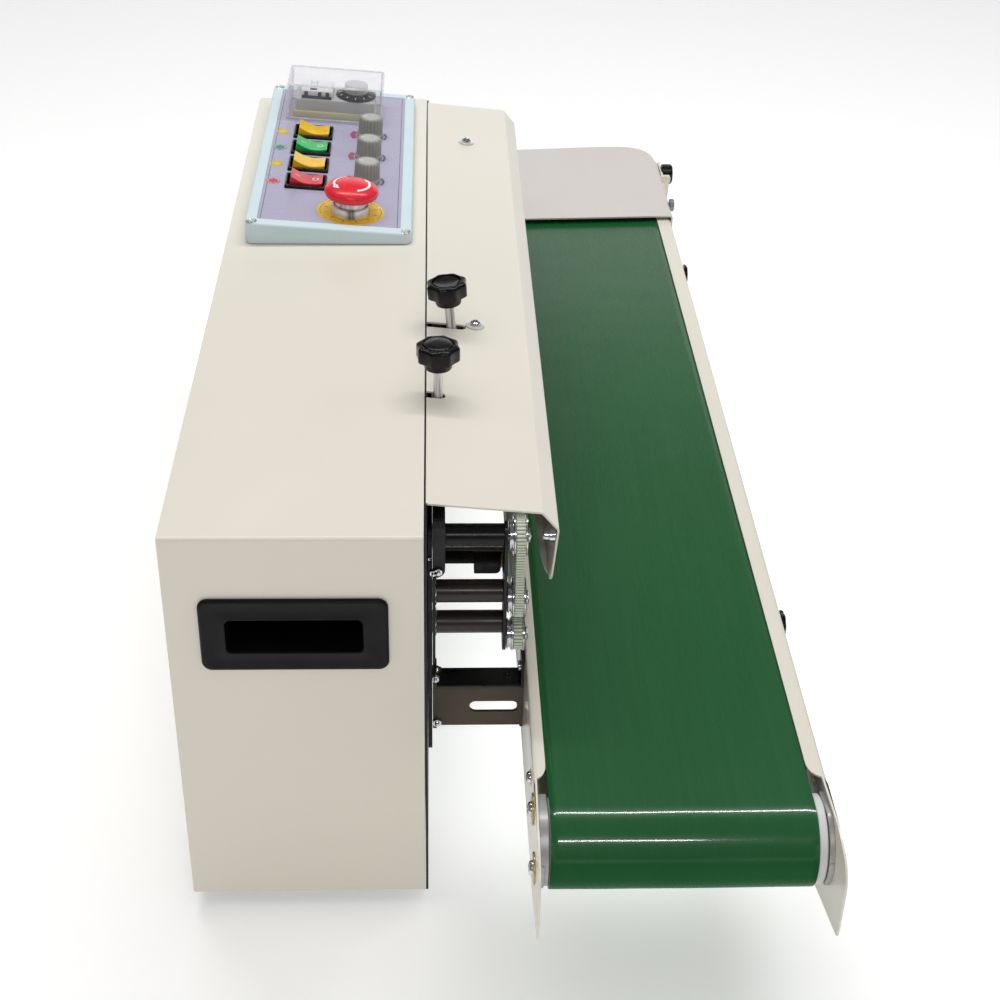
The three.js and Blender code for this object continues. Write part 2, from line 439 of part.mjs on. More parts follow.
// angle brackets that carry the conveyor from the head plate, with an adjusting slot
function bracket(x0) {
  const face = prismX([[-61.2, 88], [HEAD, 88], [HEAD, 120.5], [-61.2, 120.5]], x0, x0 + 2.5, [rounded(-58, -29, 99, 105.4, 3, 3)]);
  return join(face, box(x0, x0 + 19, -61.2, HEAD, 118, 120.5), box(x0, x0 + 26, HEAD - 2.5, HEAD, 84, 124),
    box(x0, x0 + 19, -61.2, -58.7, 88, 144));
}
add('near_bracket', bracket(56), 'brown_steel');
add('far_bracket', bracket(536), 'brown_steel');

// exit slide plate over the delivery end, on four spacers, with a turned-down edge
const exitOutline = [[716.5, -60], [727, -236], [860, -236], [872, -233], [884, -228.6], [893, -221.5], [899.5, -212], [903, -200], [903, -186], [889.5, -60]];
add('exit_plate', join(prismZ(exitOutline, 150, 151.5), box(727, 860, -236, -234.5, 134, 151.5),
  ...[[742, -66], [878, -66], [742, -226.5], [862, -226.5]].map(([x, y]) => rodZ(x, y, 3.6, RAIL_TOP + GAP, 151, 10))), 'warm_grey_paint');

// clamp knobs on the outer rail and the exit plate
const clampKnob = (len, r) => lathe([[0, 0], [3, 0], [3, -1.2], [r * 0.62, -1.2], [r * 0.7, -len * 0.45], [r, -len * 0.5], [r, -len + 1], [r - 1.5, -len], [0, -len]], 16);
add('rail_knob_near', clampKnob(6, 10), 'black_plastic', design, [107, -231.3, 132]);
add('rail_knob_mid', clampKnob(6, 10), 'black_plastic', design, [637, -231.3, 132]);
add('exit_plate_knob', clampKnob(13, 10), 'black_plastic', design, [845, -236.3, 145.5]);

// ---------------------------------------------------------------- origin at the bottom centre
const bounds = new THREE.Box3().setFromObject(design);
const centre = bounds.getCenter(new THREE.Vector3());
design.position.set(-centre.x, -centre.y, -bounds.min.z);
const group = new THREE.Group();
group.add(design);
export default group;
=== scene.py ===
# Continuous band sealer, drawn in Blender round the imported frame. Shapes are written in the machine's own millimetres and moved
# to the row frame by P(). Pieces that move ride on the body of the part they stand for; everything else rides on "frame".
import json, math, random
import bpy, bmesh
from mathutils import Matrix, Vector, noise
from mathutils.geometry import tessellate_polygon
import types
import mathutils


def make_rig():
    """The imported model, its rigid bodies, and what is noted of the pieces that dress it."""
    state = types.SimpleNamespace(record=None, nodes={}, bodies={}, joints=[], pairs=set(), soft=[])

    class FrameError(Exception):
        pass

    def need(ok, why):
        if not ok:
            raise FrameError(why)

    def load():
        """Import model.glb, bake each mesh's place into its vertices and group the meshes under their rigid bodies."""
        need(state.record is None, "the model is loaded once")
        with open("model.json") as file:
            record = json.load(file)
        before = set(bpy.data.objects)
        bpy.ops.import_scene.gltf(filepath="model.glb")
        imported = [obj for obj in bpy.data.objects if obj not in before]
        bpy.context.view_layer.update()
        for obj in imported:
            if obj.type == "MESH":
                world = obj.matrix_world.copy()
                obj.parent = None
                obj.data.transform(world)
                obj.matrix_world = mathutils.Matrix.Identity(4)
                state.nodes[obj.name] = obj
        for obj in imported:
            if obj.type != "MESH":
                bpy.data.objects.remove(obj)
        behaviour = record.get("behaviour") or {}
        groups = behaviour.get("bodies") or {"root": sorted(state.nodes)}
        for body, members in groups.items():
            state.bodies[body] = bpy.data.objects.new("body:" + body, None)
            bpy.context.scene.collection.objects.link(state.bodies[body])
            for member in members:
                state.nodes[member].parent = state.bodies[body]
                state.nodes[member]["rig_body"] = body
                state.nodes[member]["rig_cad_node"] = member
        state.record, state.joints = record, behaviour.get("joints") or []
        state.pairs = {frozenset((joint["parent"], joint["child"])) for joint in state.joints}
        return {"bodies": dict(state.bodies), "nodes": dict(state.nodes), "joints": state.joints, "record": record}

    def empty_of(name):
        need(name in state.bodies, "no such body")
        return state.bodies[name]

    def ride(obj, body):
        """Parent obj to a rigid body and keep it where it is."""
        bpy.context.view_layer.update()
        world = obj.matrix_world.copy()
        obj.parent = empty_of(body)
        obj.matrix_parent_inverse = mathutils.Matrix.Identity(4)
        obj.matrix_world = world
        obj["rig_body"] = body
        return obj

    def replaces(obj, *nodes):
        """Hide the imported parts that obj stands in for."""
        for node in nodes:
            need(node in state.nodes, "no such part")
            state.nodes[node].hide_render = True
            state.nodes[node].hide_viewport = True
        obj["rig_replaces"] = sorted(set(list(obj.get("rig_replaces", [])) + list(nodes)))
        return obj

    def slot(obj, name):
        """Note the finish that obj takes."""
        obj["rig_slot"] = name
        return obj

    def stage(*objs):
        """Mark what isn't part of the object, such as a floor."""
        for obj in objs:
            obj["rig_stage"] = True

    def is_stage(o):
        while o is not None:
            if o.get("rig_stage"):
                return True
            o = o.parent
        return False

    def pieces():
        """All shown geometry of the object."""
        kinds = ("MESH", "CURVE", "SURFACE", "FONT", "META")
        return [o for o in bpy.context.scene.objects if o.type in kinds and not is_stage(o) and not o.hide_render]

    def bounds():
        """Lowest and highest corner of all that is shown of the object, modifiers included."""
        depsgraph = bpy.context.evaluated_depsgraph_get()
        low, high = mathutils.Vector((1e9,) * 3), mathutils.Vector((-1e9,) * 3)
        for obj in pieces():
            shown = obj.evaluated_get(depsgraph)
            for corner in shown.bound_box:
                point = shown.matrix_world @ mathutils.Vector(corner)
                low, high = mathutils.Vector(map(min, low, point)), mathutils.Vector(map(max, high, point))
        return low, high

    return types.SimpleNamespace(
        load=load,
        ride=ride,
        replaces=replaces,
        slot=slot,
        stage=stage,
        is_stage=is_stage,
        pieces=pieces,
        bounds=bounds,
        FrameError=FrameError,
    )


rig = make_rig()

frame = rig.load()
CAD_LO, CAD_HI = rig.bounds()
random.seed(11)

MM = 0.001
OFF = Vector((-389.35, 50.0, 14.0))


def P(x, y, z):
    return (Vector((x, y, z)) + OFF) * MM


def lin(r, g, b, a=1.0):
    f = lambda c: c / 255 / 12.92 if c / 255 <= 0.04045 else ((c / 255 + 0.055) / 1.055) ** 2.4
    return (f(r), f(g), f(b), a)


# ------------------------------------------------------------------ materials
def new_mat(name):
    m = bpy.data.materials.new(name)
    m.use_nodes = True
    nt = m.node_tree
    nt.nodes.clear()
    out = nt.nodes.new("ShaderNodeOutputMaterial")
    b = nt.nodes.new("ShaderNodeBsdfPrincipled")
    nt.links.new(b.outputs[0], out.inputs[0])
    return m, nt, b


def coords(nt, scale=(1, 1, 1), rot=(0, 0, 0)):
    tc = nt.nodes.new("ShaderNodeTexCoord")
    mp = nt.nodes.new("ShaderNodeMapping")
    mp.inputs["Scale"].default_value = scale
    mp.inputs["Rotation"].default_value = rot
    nt.links.new(tc.outputs["Object"], mp.inputs["Vector"])
    return mp.outputs[0]


def noise_tex(nt, vec, scale, detail=3, rough=0.55, dist=0.0):
    n = nt.nodes.new("ShaderNodeTexNoise")
    n.inputs["Scale"].default_value = scale
    n.inputs["Detail"].default_value = detail
    n.inputs["Roughness"].default_value = rough
    n.inputs["Distortion"].default_value = dist
    nt.links.new(vec, n.inputs["Vector"])
    return n.outputs[0]


def ramp(nt, fac, stops, interp="LINEAR"):
    r = nt.nodes.new("ShaderNodeValToRGB")
    r.color_ramp.interpolation = interp
    e = r.color_ramp.elements
    e[0].position, e[0].color = stops[0]
    e[1].position, e[1].color = stops[-1]
    for p, c in stops[1:-1]:
        x = e.new(p)
        x.color = c
    nt.links.new(fac, r.inputs[0])
    return r.outputs[0]


def mixc(nt, fac, a, b, blend="MIX"):
    m = nt.nodes.new("ShaderNodeMix")
    m.data_type = "RGBA"
    m.blend_type = blend
    for s, v in ((m.inputs[0], fac), (m.inputs[6], a), (m.inputs[7], b)):
        if isinstance(v, (int, float, tuple)):
            s.default_value = v
        else:
            nt.links.new(v, s)
    return m.outputs[2]


def maprange(nt, v, a, b, lo=0.3, hi=0.7):
    m = nt.nodes.new("ShaderNodeMapRange")
    nt.links.new(v, m.inputs[0])
    m.inputs[1].default_value, m.inputs[2].default_value = lo, hi
    m.inputs[3].default_value, m.inputs[4].default_value = a, b
    return m.outputs[0]


def bump(nt, height, strength, dist, prev=None):
    b = nt.nodes.new("ShaderNodeBump")
    b.inputs["Strength"].default_value = strength
    b.inputs["Distance"].default_value = dist
    nt.links.new(height, b.inputs["Height"])
    if prev is not None:
        nt.links.new(prev, b.inputs["Normal"])
    return b.outputs[0]


def math_node(nt, op, a, b=None):
    m = nt.nodes.new("ShaderNodeMath")
    m.operation = op
    for s, v in ((m.inputs[0], a), (m.inputs[1], b)):
        if v is None:
            continue
        if isinstance(v, (int, float)):
            s.default_value = v
        else:
            nt.links.new(v, s)
    return m.outputs[0]


def scale_c(c, k):
    return (min(1, c[0] * k), min(1, c[1] * k), min(1, c[2] * k), 1)


def surface(name, colour, rough=0.45, metal=0.0, var=0.06, var_scale=14, grain=900, bump_d=0.00004, bump_s=0.25, stretch=(1, 1, 1),
            speck=0.0, speck_col=None, speck_scale=260, coat=0.0, coat_rough=0.1, rvar=0.1, spec=0.5, edge=0.0, wide_bump=0.0):
    """Mottled colour over two sizes, a fine grain in the normal, roughness that wanders, and optional specks."""
    m, nt, b = new_mat(name)
    v = coords(nt, stretch)
    big = noise_tex(nt, v, var_scale, 3, 0.6)
    col = ramp(nt, big, [(0.3, scale_c(colour, 1 - var)), (0.7, scale_c(colour, 1 + var))])
    fine = noise_tex(nt, v, grain, 2, 0.6)
    col = mixc(nt, maprange(nt, fine, 0.0, 0.6), col, scale_c(colour, 1 - var * 1.5))
    if speck:
        vo = nt.nodes.new("ShaderNodeTexVoronoi")
        vo.inputs["Scale"].default_value = speck_scale
        nt.links.new(coords(nt), vo.inputs["Vector"])
        clear = noise_tex(nt, coords(nt), 30, 2)
        lim = math_node(nt, "MULTIPLY", maprange(nt, clear, 0.0, 1.0, 0.5, 0.75), speck)
        near = math_node(nt, "LESS_THAN", vo.outputs["Distance"], lim)
        col = mixc(nt, near, col, speck_col or scale_c(colour, 0.6))
    nt.links.new(col, b.inputs["Base Color"])
    r = noise_tex(nt, coords(nt, stretch), var_scale * 3.3, 3, 0.65)
    nt.links.new(maprange(nt, r, max(0.02, rough - rvar), min(1, rough + rvar)), b.inputs["Roughness"])
    nrm = bump(nt, fine, bump_s, bump_d)
    if wide_bump:
        nrm = bump(nt, noise_tex(nt, coords(nt), 5, 1), 1.0, wide_bump, nrm)
    nt.links.new(nrm, b.inputs["Normal"])
    b.inputs["Metallic"].default_value = metal
    b.inputs["Specular IOR Level"].default_value = spec
    if coat:
        b.inputs["Coat Weight"].default_value = coat
        b.inputs["Coat Roughness"].default_value = coat_rough
    return m


def steel(name, colour, rough=0.3, axis=None, var=0.08, spot=0.0):
    """Machined or plated metal: fine lines across the given stretch, colour and roughness that follow them."""
    m, nt, b = new_mat(name)
    s = axis or (1, 1, 1)
    v = coords(nt, s)
    lines = noise_tex(nt, v, 700, 3, 0.7)
    cloud = noise_tex(nt, coords(nt), 60, 3, 0.6)
    col = ramp(nt, cloud, [(0.3, scale_c(colour, 1 - var)), (0.7, scale_c(colour, 1 + var))])
    col = mixc(nt, maprange(nt, lines, 0, 0.5), col, scale_c(colour, 1 - 2 * var))
    if spot:
        rust = noise_tex(nt, coords(nt), 170, 4, 0.7)
        col = mixc(nt, maprange(nt, rust, 0, spot, 0.6, 0.72), col, lin(120, 100, 84))
    nt.links.new(col, b.inputs["Base Color"])
    nt.links.new(maprange(nt, lines, rough - 0.1, rough + 0.12), b.inputs["Roughness"])
    nt.links.new(bump(nt, lines, 0.2, 0.00003), b.inputs["Normal"])
    b.inputs["Metallic"].default_value = 1.0
    return m


BEIGE = lin(228, 223, 210)
M = {}
M["paint"] = surface("paint_beige", BEIGE, 0.34, var=0.012, var_scale=5, grain=1500, bump_d=0.00002, bump_s=0.3, rvar=0.06, speck=0.05,
                     speck_col=lin(196, 188, 170), speck_scale=220, wide_bump=0.0006, coat=0.25, coat_rough=0.16)
M["paint_grey"] = surface("paint_warm_grey", lin(214, 208, 203), 0.42, var=0.015, var_scale=7, grain=1400, bump_d=0.00002, bump_s=0.3,
                          rvar=0.08, speck=0.05, speck_col=lin(180, 172, 165), wide_bump=0.0005)
M["black_paint"] = surface("paint_black", lin(13, 13, 16), 0.36, spec=0.35, var=0.12, var_scale=25, grain=1300, bump_d=0.00004, bump_s=0.5, speck=0.09,
                           speck_col=lin(62, 62, 64), speck_scale=330, rvar=0.12)
M["brown_black"] = surface("tube_brown_black", lin(52, 44, 42), 0.3, metal=0.35, var=0.12, var_scale=30, grain=900, stretch=(1, 0.15, 1),
                           bump_d=0.00003, bump_s=0.5, rvar=0.1)
M["bracket"] = surface("bracket_brown", lin(80, 70, 56), 0.42, metal=0.25, var=0.08, var_scale=22, grain=1100, bump_d=0.00004, bump_s=0.5,
                       speck=0.1, speck_col=lin(58, 50, 44), rvar=0.1)
M["bright_zinc"] = surface("zinc_bright", lin(236, 238, 238), 0.24, metal=0.45, var=0.03, var_scale=60, grain=1500, bump_d=0.00002, bump_s=0.25, speck=0.04,
                            speck_col=lin(196, 196, 190))
M["zinc"] = steel("zinc_plate", lin(196, 200, 202), 0.34, (1, 0.1, 1), 0.07, spot=0.15)
M["chrome"] = steel("chrome", lin(214, 214, 218), 0.14, (1, 0.2, 1), 0.04)
M["turned"] = steel("turned_steel", lin(196, 196, 196), 0.26, (1, 1, 0.1), 0.06)
M["alu"] = steel("aluminium", lin(184, 186, 190), 0.38, (0.12, 1, 1), 0.06)
M["cast"] = surface("cast_grey", lin(140, 144, 148), 0.5, metal=0.6, var=0.14, var_scale=40, grain=500, bump_d=0.0002, bump_s=0.6, rvar=0.12,
                    speck=0.14, speck_col=lin(92, 92, 92), speck_scale=420)
M["black_plastic"] = surface("plastic_black", lin(9, 9, 12), 0.42, spec=0.2, var=0.12, var_scale=26, grain=1700, bump_d=0.00006, bump_s=0.45,
                             speck=0.06, speck_col=lin(60, 60, 64), speck_scale=300, rvar=0.09)
M["black_gloss"] = surface("plastic_black_gloss", lin(9, 8, 13), 0.26, spec=0.28, var=0.1, var_scale=30, grain=1500, bump_d=0.00003, bump_s=0.4,
                           speck=0.05, speck_col=lin(84, 84, 88), speck_scale=420, rvar=0.08)
M["grey_knob"] = surface("plastic_grey", lin(158, 158, 150), 0.46, var=0.07, var_scale=60, grain=2200, bump_d=0.00005, bump_s=0.5, rvar=0.1)
M["grey_cap"] = surface("plastic_light_grey", lin(178, 180, 176), 0.4, var=0.04, var_scale=60, grain=2200, bump_d=0.00004, bump_s=0.4, rvar=0.08)
M["box"] = surface("plastic_pale_blue_green", lin(208, 227, 233), 0.42, var=0.025, var_scale=18, grain=2000, bump_d=0.00005, bump_s=0.45, rvar=0.08)
M["overlay"] = surface("overlay_lilac", lin(172, 168, 192), 0.3, var=0.02, var_scale=12, grain=2600, bump_d=0.00002, bump_s=0.4, rvar=0.06,
                       wide_bump=0.0003)
M["print_dark"] = surface("print_dark_violet", lin(92, 84, 112), 0.35, var=0.08, var_scale=80, grain=2500)
M["print_wine"] = surface("print_wine", lin(168, 84, 108), 0.35, var=0.1, var_scale=80, grain=2500)
M["print_red"] = surface("print_red", lin(196, 66, 84), 0.35, var=0.08, var_scale=80, grain=2500)
M["print_yellow"] = surface("print_yellow", lin(226, 190, 40), 0.35, var=0.06, var_scale=80, grain=2500)
M["print_green"] = surface("print_green", lin(44, 136, 110), 0.35, var=0.06, var_scale=80, grain=2500)
M["print_white"] = surface("print_white", lin(240, 238, 238), 0.35, var=0.03, var_scale=80, grain=2500)
M["label_yellow"] = surface("label_yellow", lin(232, 190, 26), 0.32, var=0.05, var_scale=50, grain=2400, bump_d=0.00002)
M["estop_red"] = surface("estop_red", lin(232, 38, 56), 0.26, var=0.05, var_scale=50, grain=2400, bump_d=0.00002, bump_s=0.3, rvar=0.06)
M["collar"] = None
M["rubber"] = surface("rubber_black", lin(34, 34, 34), 0.75, var=0.15, var_scale=60, grain=1200, bump_d=0.0001, bump_s=0.6)
M["white_plastic"] = surface("plastic_white", lin(226, 228, 226), 0.4, var=0.03, var_scale=60, grain=2000, bump_d=0.00003)
M["controller_face"] = surface("controller_face", lin(188, 190, 190), 0.45, var=0.05, var_scale=60, grain=1800, speck=0.16,
                               speck_col=lin(120, 122, 124), speck_scale=700)
M["controller_base"] = surface("controller_base", lin(206, 200, 158), 0.35, var=0.07, var_scale=50, grain=1500, bump_d=0.00004)
M["brass"] = steel("brass", lin(196, 166, 92), 0.3, (1, 1, 0.2), 0.08)
M["brass_wash"] = steel("yellow_zinc", lin(206, 182, 120), 0.3, (1, 1, 1), 0.1)
M["band"] = surface("seal_band_brown", lin(112, 82, 50), 0.4, var=0.1, var_scale=70, grain=1400, stretch=(0.3, 1, 1), bump_d=0.00006, bump_s=0.6)
M["heater"] = surface("heater_block", lin(176, 156, 110), 0.36, metal=0.8, var=0.12, var_scale=40, grain=800, stretch=(0.2, 1, 1), speck=0.1,
                      speck_col=lin(104, 88, 60))
M["white_belt"] = surface("guide_belt_white", lin(216, 224, 206), 0.5, var=0.06, var_scale=90, grain=1600, bump_d=0.00008, bump_s=0.6,
                          speck=0.1, speck_col=lin(150, 158, 140), speck_scale=500)
M["roller_white"] = surface("roller_end_white", lin(214, 216, 216), 0.45, var=0.05, var_scale=50, grain=1500, bump_d=0.00005, speck=0.08,
                            speck_col=lin(168, 170, 172))
M["holder"] = surface("holder_metal", lin(182, 182, 180), 0.36, metal=0.5, var=0.14, var_scale=34, grain=700, stretch=(1, 0.3, 1), speck=0.16,
                      speck_col=lin(96, 98, 100), speck_scale=300, bump_d=0.0001, bump_s=0.5)
M["chain"] = surface("chain_steel", lin(120, 116, 110), 0.34, metal=0.85, var=0.14, var_scale=120, grain=900, bump_d=0.00005)
M["spring"] = steel("spring_steel", lin(150, 150, 152), 0.25, (1, 1, 1), 0.08)


def translucent(name, colour):
    m, nt, b = new_mat(name)
    cloud = noise_tex(nt, coords(nt), 140, 3, 0.6)
    nt.links.new(ramp(nt, cloud, [(0.3, scale_c(colour, 0.9)), (0.7, scale_c(colour, 1.08))]), b.inputs["Base Color"])
    nt.links.new(maprange(nt, noise_tex(nt, coords(nt), 260, 2), 0.12, 0.26), b.inputs["Roughness"])
    nt.links.new(bump(nt, noise_tex(nt, coords(nt), 900, 2), 0.15, 0.00004), b.inputs["Normal"])
    b.inputs["Subsurface Weight"].default_value = 0.35
    b.inputs["Subsurface Radius"].default_value = (0.004, 0.002, 0.0015)
    b.inputs["Subsurface Scale"].default_value = 1.0
    b.inputs["Coat Weight"].default_value = 0.3
    b.inputs["Coat Roughness"].default_value = 0.08
    return m


M["rk_red"] = translucent("rocker_red", lin(206, 26, 46))
M["rk_yellow"] = translucent("rocker_yellow", lin(240, 192, 8))
M["rk_green"] = translucent("rocker_green", lin(10, 186, 90))


def clear_plastic():
    """Clear moulded plastic: mostly see-through, more mirror-like at a glance, with faint haze and fine scratches."""
    m, nt, b = new_mat("clear_plastic")
    lw = nt.nodes.new("ShaderNodeLayerWeight")
    lw.inputs[0].default_value = 0.32
    haze = noise_tex(nt, coords(nt), 45, 3, 0.6)
    scr = noise_tex(nt, coords(nt, (1, 14, 6)), 160, 3, 0.7)
    a = maprange(nt, lw.outputs["Facing"], 0.05, 0.42, 0.0, 1.0)
    h = maprange(nt, haze, 0.0, 0.04)
    s = maprange(nt, scr, 0.0, 0.05, 0.62, 0.75)
    tot = math_node(nt, "ADD", math_node(nt, "ADD", a, h), s)
    nt.links.new(tot, b.inputs["Alpha"])
    col = ramp(nt, haze, [(0.3, lin(226, 226, 236)), (0.7, lin(244, 244, 250))])
    nt.links.new(col, b.inputs["Base Color"])
    nt.links.new(maprange(nt, haze, 0.05, 0.16), b.inputs["Roughness"])
    nt.links.new(bump(nt, scr, 0.1, 0.00003), b.inputs["Normal"])
    return m


def streaked_chrome(name, scale, dark):
    """Chromed sleeve: long pale and dark streaks down its length, as a bright room draws on a polished cylinder."""
    m, nt, b = new_mat(name)
    n = noise_tex(nt, coords(nt, (1, 1, 0.04)), scale, 2, 0.6)
    nt.links.new(ramp(nt, n, [(0.36, dark), (0.47, lin(238, 236, 236)), (0.62, lin(250, 250, 250))]), b.inputs["Base Color"])
    nt.links.new(maprange(nt, n, 0.22, 0.1), b.inputs["Roughness"])
    nt.links.new(bump(nt, noise_tex(nt, coords(nt, (1, 1, 0.1)), 900, 2), 0.12, 0.00002), b.inputs["Normal"])
    b.inputs["Metallic"].default_value = 0.5
    return m


M["collar"] = streaked_chrome("estop_collar_chrome", 150, lin(122, 118, 120))
M["stud"] = streaked_chrome("stud_bright_zinc", 380, lin(150, 156, 158))
# painted shade: dark warm grey for the outer side of the rail next to the housing, standing in for the shadow between
# housing and conveyor
M["rail_side"] = surface("rail_side_painted_shade", lin(104, 94, 86), 0.45, var=0.05, var_scale=6, grain=1300, bump_d=0.00003, speck=0.07,
                         speck_col=lin(74, 66, 60), rvar=0.08, spec=0.3)
# painted shade for the floors of the guide belt's grooves between the ribs
M["belt_groove"] = surface("guide_belt_groove_painted_shade", lin(152, 160, 138), 0.6, var=0.1, var_scale=90, grain=1500, bump_d=0.00005)
M["clear"] = clear_plastic()


def clear_edge():
    """Thick corner of the clear moulding, which gathers light and shows paler."""
    m, nt, b = new_mat("clear_plastic_edge")
    n = noise_tex(nt, coords(nt), 120, 3, 0.6)
    nt.links.new(maprange(nt, n, 0.38, 0.62), b.inputs["Alpha"])
    nt.links.new(ramp(nt, n, [(0.3, lin(222, 222, 232)), (0.7, lin(250, 250, 254))]), b.inputs["Base Color"])
    nt.links.new(maprange(nt, n, 0.06, 0.2), b.inputs["Roughness"])
    return m


M["clear_edge"] = clear_edge()


def belt_material():
    """Green PVC belt: smooth skin with faint cross weave, long rub streaks and darker worn patches."""
    m, nt, b = new_mat("belt_green")
    v = coords(nt)
    cloud = noise_tex(nt, coords(nt, (0.35, 1, 1)), 9, 4, 0.6)
    base = ramp(nt, cloud, [(0.3, lin(18, 82, 40)), (0.7, lin(22, 88, 44))])
    streak = noise_tex(nt, coords(nt, (0.12, 3.0, 1)), 55, 4, 0.7)
    base = mixc(nt, maprange(nt, streak, 0, 0.22, 0.55, 0.8), base, lin(28, 93, 49))
    speck = nt.nodes.new("ShaderNodeTexVoronoi")
    speck.inputs["Scale"].default_value = 90
    nt.links.new(v, speck.inputs["Vector"])
    dirt = math_node(nt, "LESS_THAN", speck.outputs["Distance"], 0.026)
    base = mixc(nt, dirt, base, lin(70, 122, 84))
    nt.links.new(base, b.inputs["Base Color"])
    wx = nt.nodes.new("ShaderNodeTexWave")
    wx.bands_direction = "X"
    wx.inputs["Scale"].default_value = 330
    wx.inputs["Distortion"].default_value = 1.2
    wy = nt.nodes.new("ShaderNodeTexWave")
    wy.bands_direction = "Y"
    wy.inputs["Scale"].default_value = 330
    wy.inputs["Distortion"].default_value = 1.2
    nt.links.new(v, wx.inputs["Vector"])
    nt.links.new(v, wy.inputs["Vector"])
    weave = math_node(nt, "MULTIPLY", wx.outputs["Fac"], wy.outputs["Fac"])
    n1 = bump(nt, weave, 0.4, 0.00005)
    n2 = bump(nt, noise_tex(nt, coords(nt, (1, 0.6, 1)), 26, 2), 0.5, 0.00016, n1)
    nt.links.new(n2, b.inputs["Normal"])
    nt.links.new(maprange(nt, streak, 0.25, 0.31), b.inputs["Roughness"])
    lw = nt.nodes.new("ShaderNodeLayerWeight")
    lw.inputs[0].default_value = 0.5
    sep = nt.nodes.new("ShaderNodeSeparateXYZ")      # painted shade: gloss and coat are cut off by height below the carrying run, so the lower belt shows no reflection of the floor and reads darker
    nt.links.new(v, sep.inputs[0])
    sheen_cut_below = maprange(nt, sep.outputs[2], 0.1, 1.0, 0.1405, 0.1465)
    nt.links.new(math_node(nt, "MULTIPLY", maprange(nt, lw.outputs["Facing"], 0.25, 0.46, 0.36, 0.56), sheen_cut_below), b.inputs["Specular IOR Level"])
    nt.links.new(math_node(nt, "MULTIPLY", maprange(nt, lw.outputs["Facing"], 0.85, 0.1, 0.3, 0.52), sheen_cut_below), b.inputs["Coat Weight"])
    b.inputs["Coat Roughness"].default_value = 0.09
    b.inputs["Coat IOR"].default_value = 1.6
    return m


M["belt"] = belt_material()
M["belt_back"] = surface("belt_fabric_back", lin(190, 190, 178), 0.8, var=0.08, var_scale=40, grain=1400, bump_d=0.0001, bump_s=0.7)


# ------------------------------------------------------------------ mesh helpers (millimetres)
def circle(cx, cy, r, n=48, phase=0.0):
    return [(cx + r * math.cos(phase + i / n * math.tau), cy + r * math.sin(phase + i / n * math.tau)) for i in range(n)]


def rounded(x0, x1, y0, y1, r, n=8):
    pts = []
    for cx, cy, a0 in ((x1 - r, y1 - r, 0), (x0 + r, y1 - r, 90), (x0 + r, y0 + r, 180), (x1 - r, y0 + r, 270)):
        for i in range(n + 1):
            a = math.radians(a0 + 90 * i / n)
            pts.append((cx + r * math.cos(a), cy + r * math.sin(a)))
    return pts


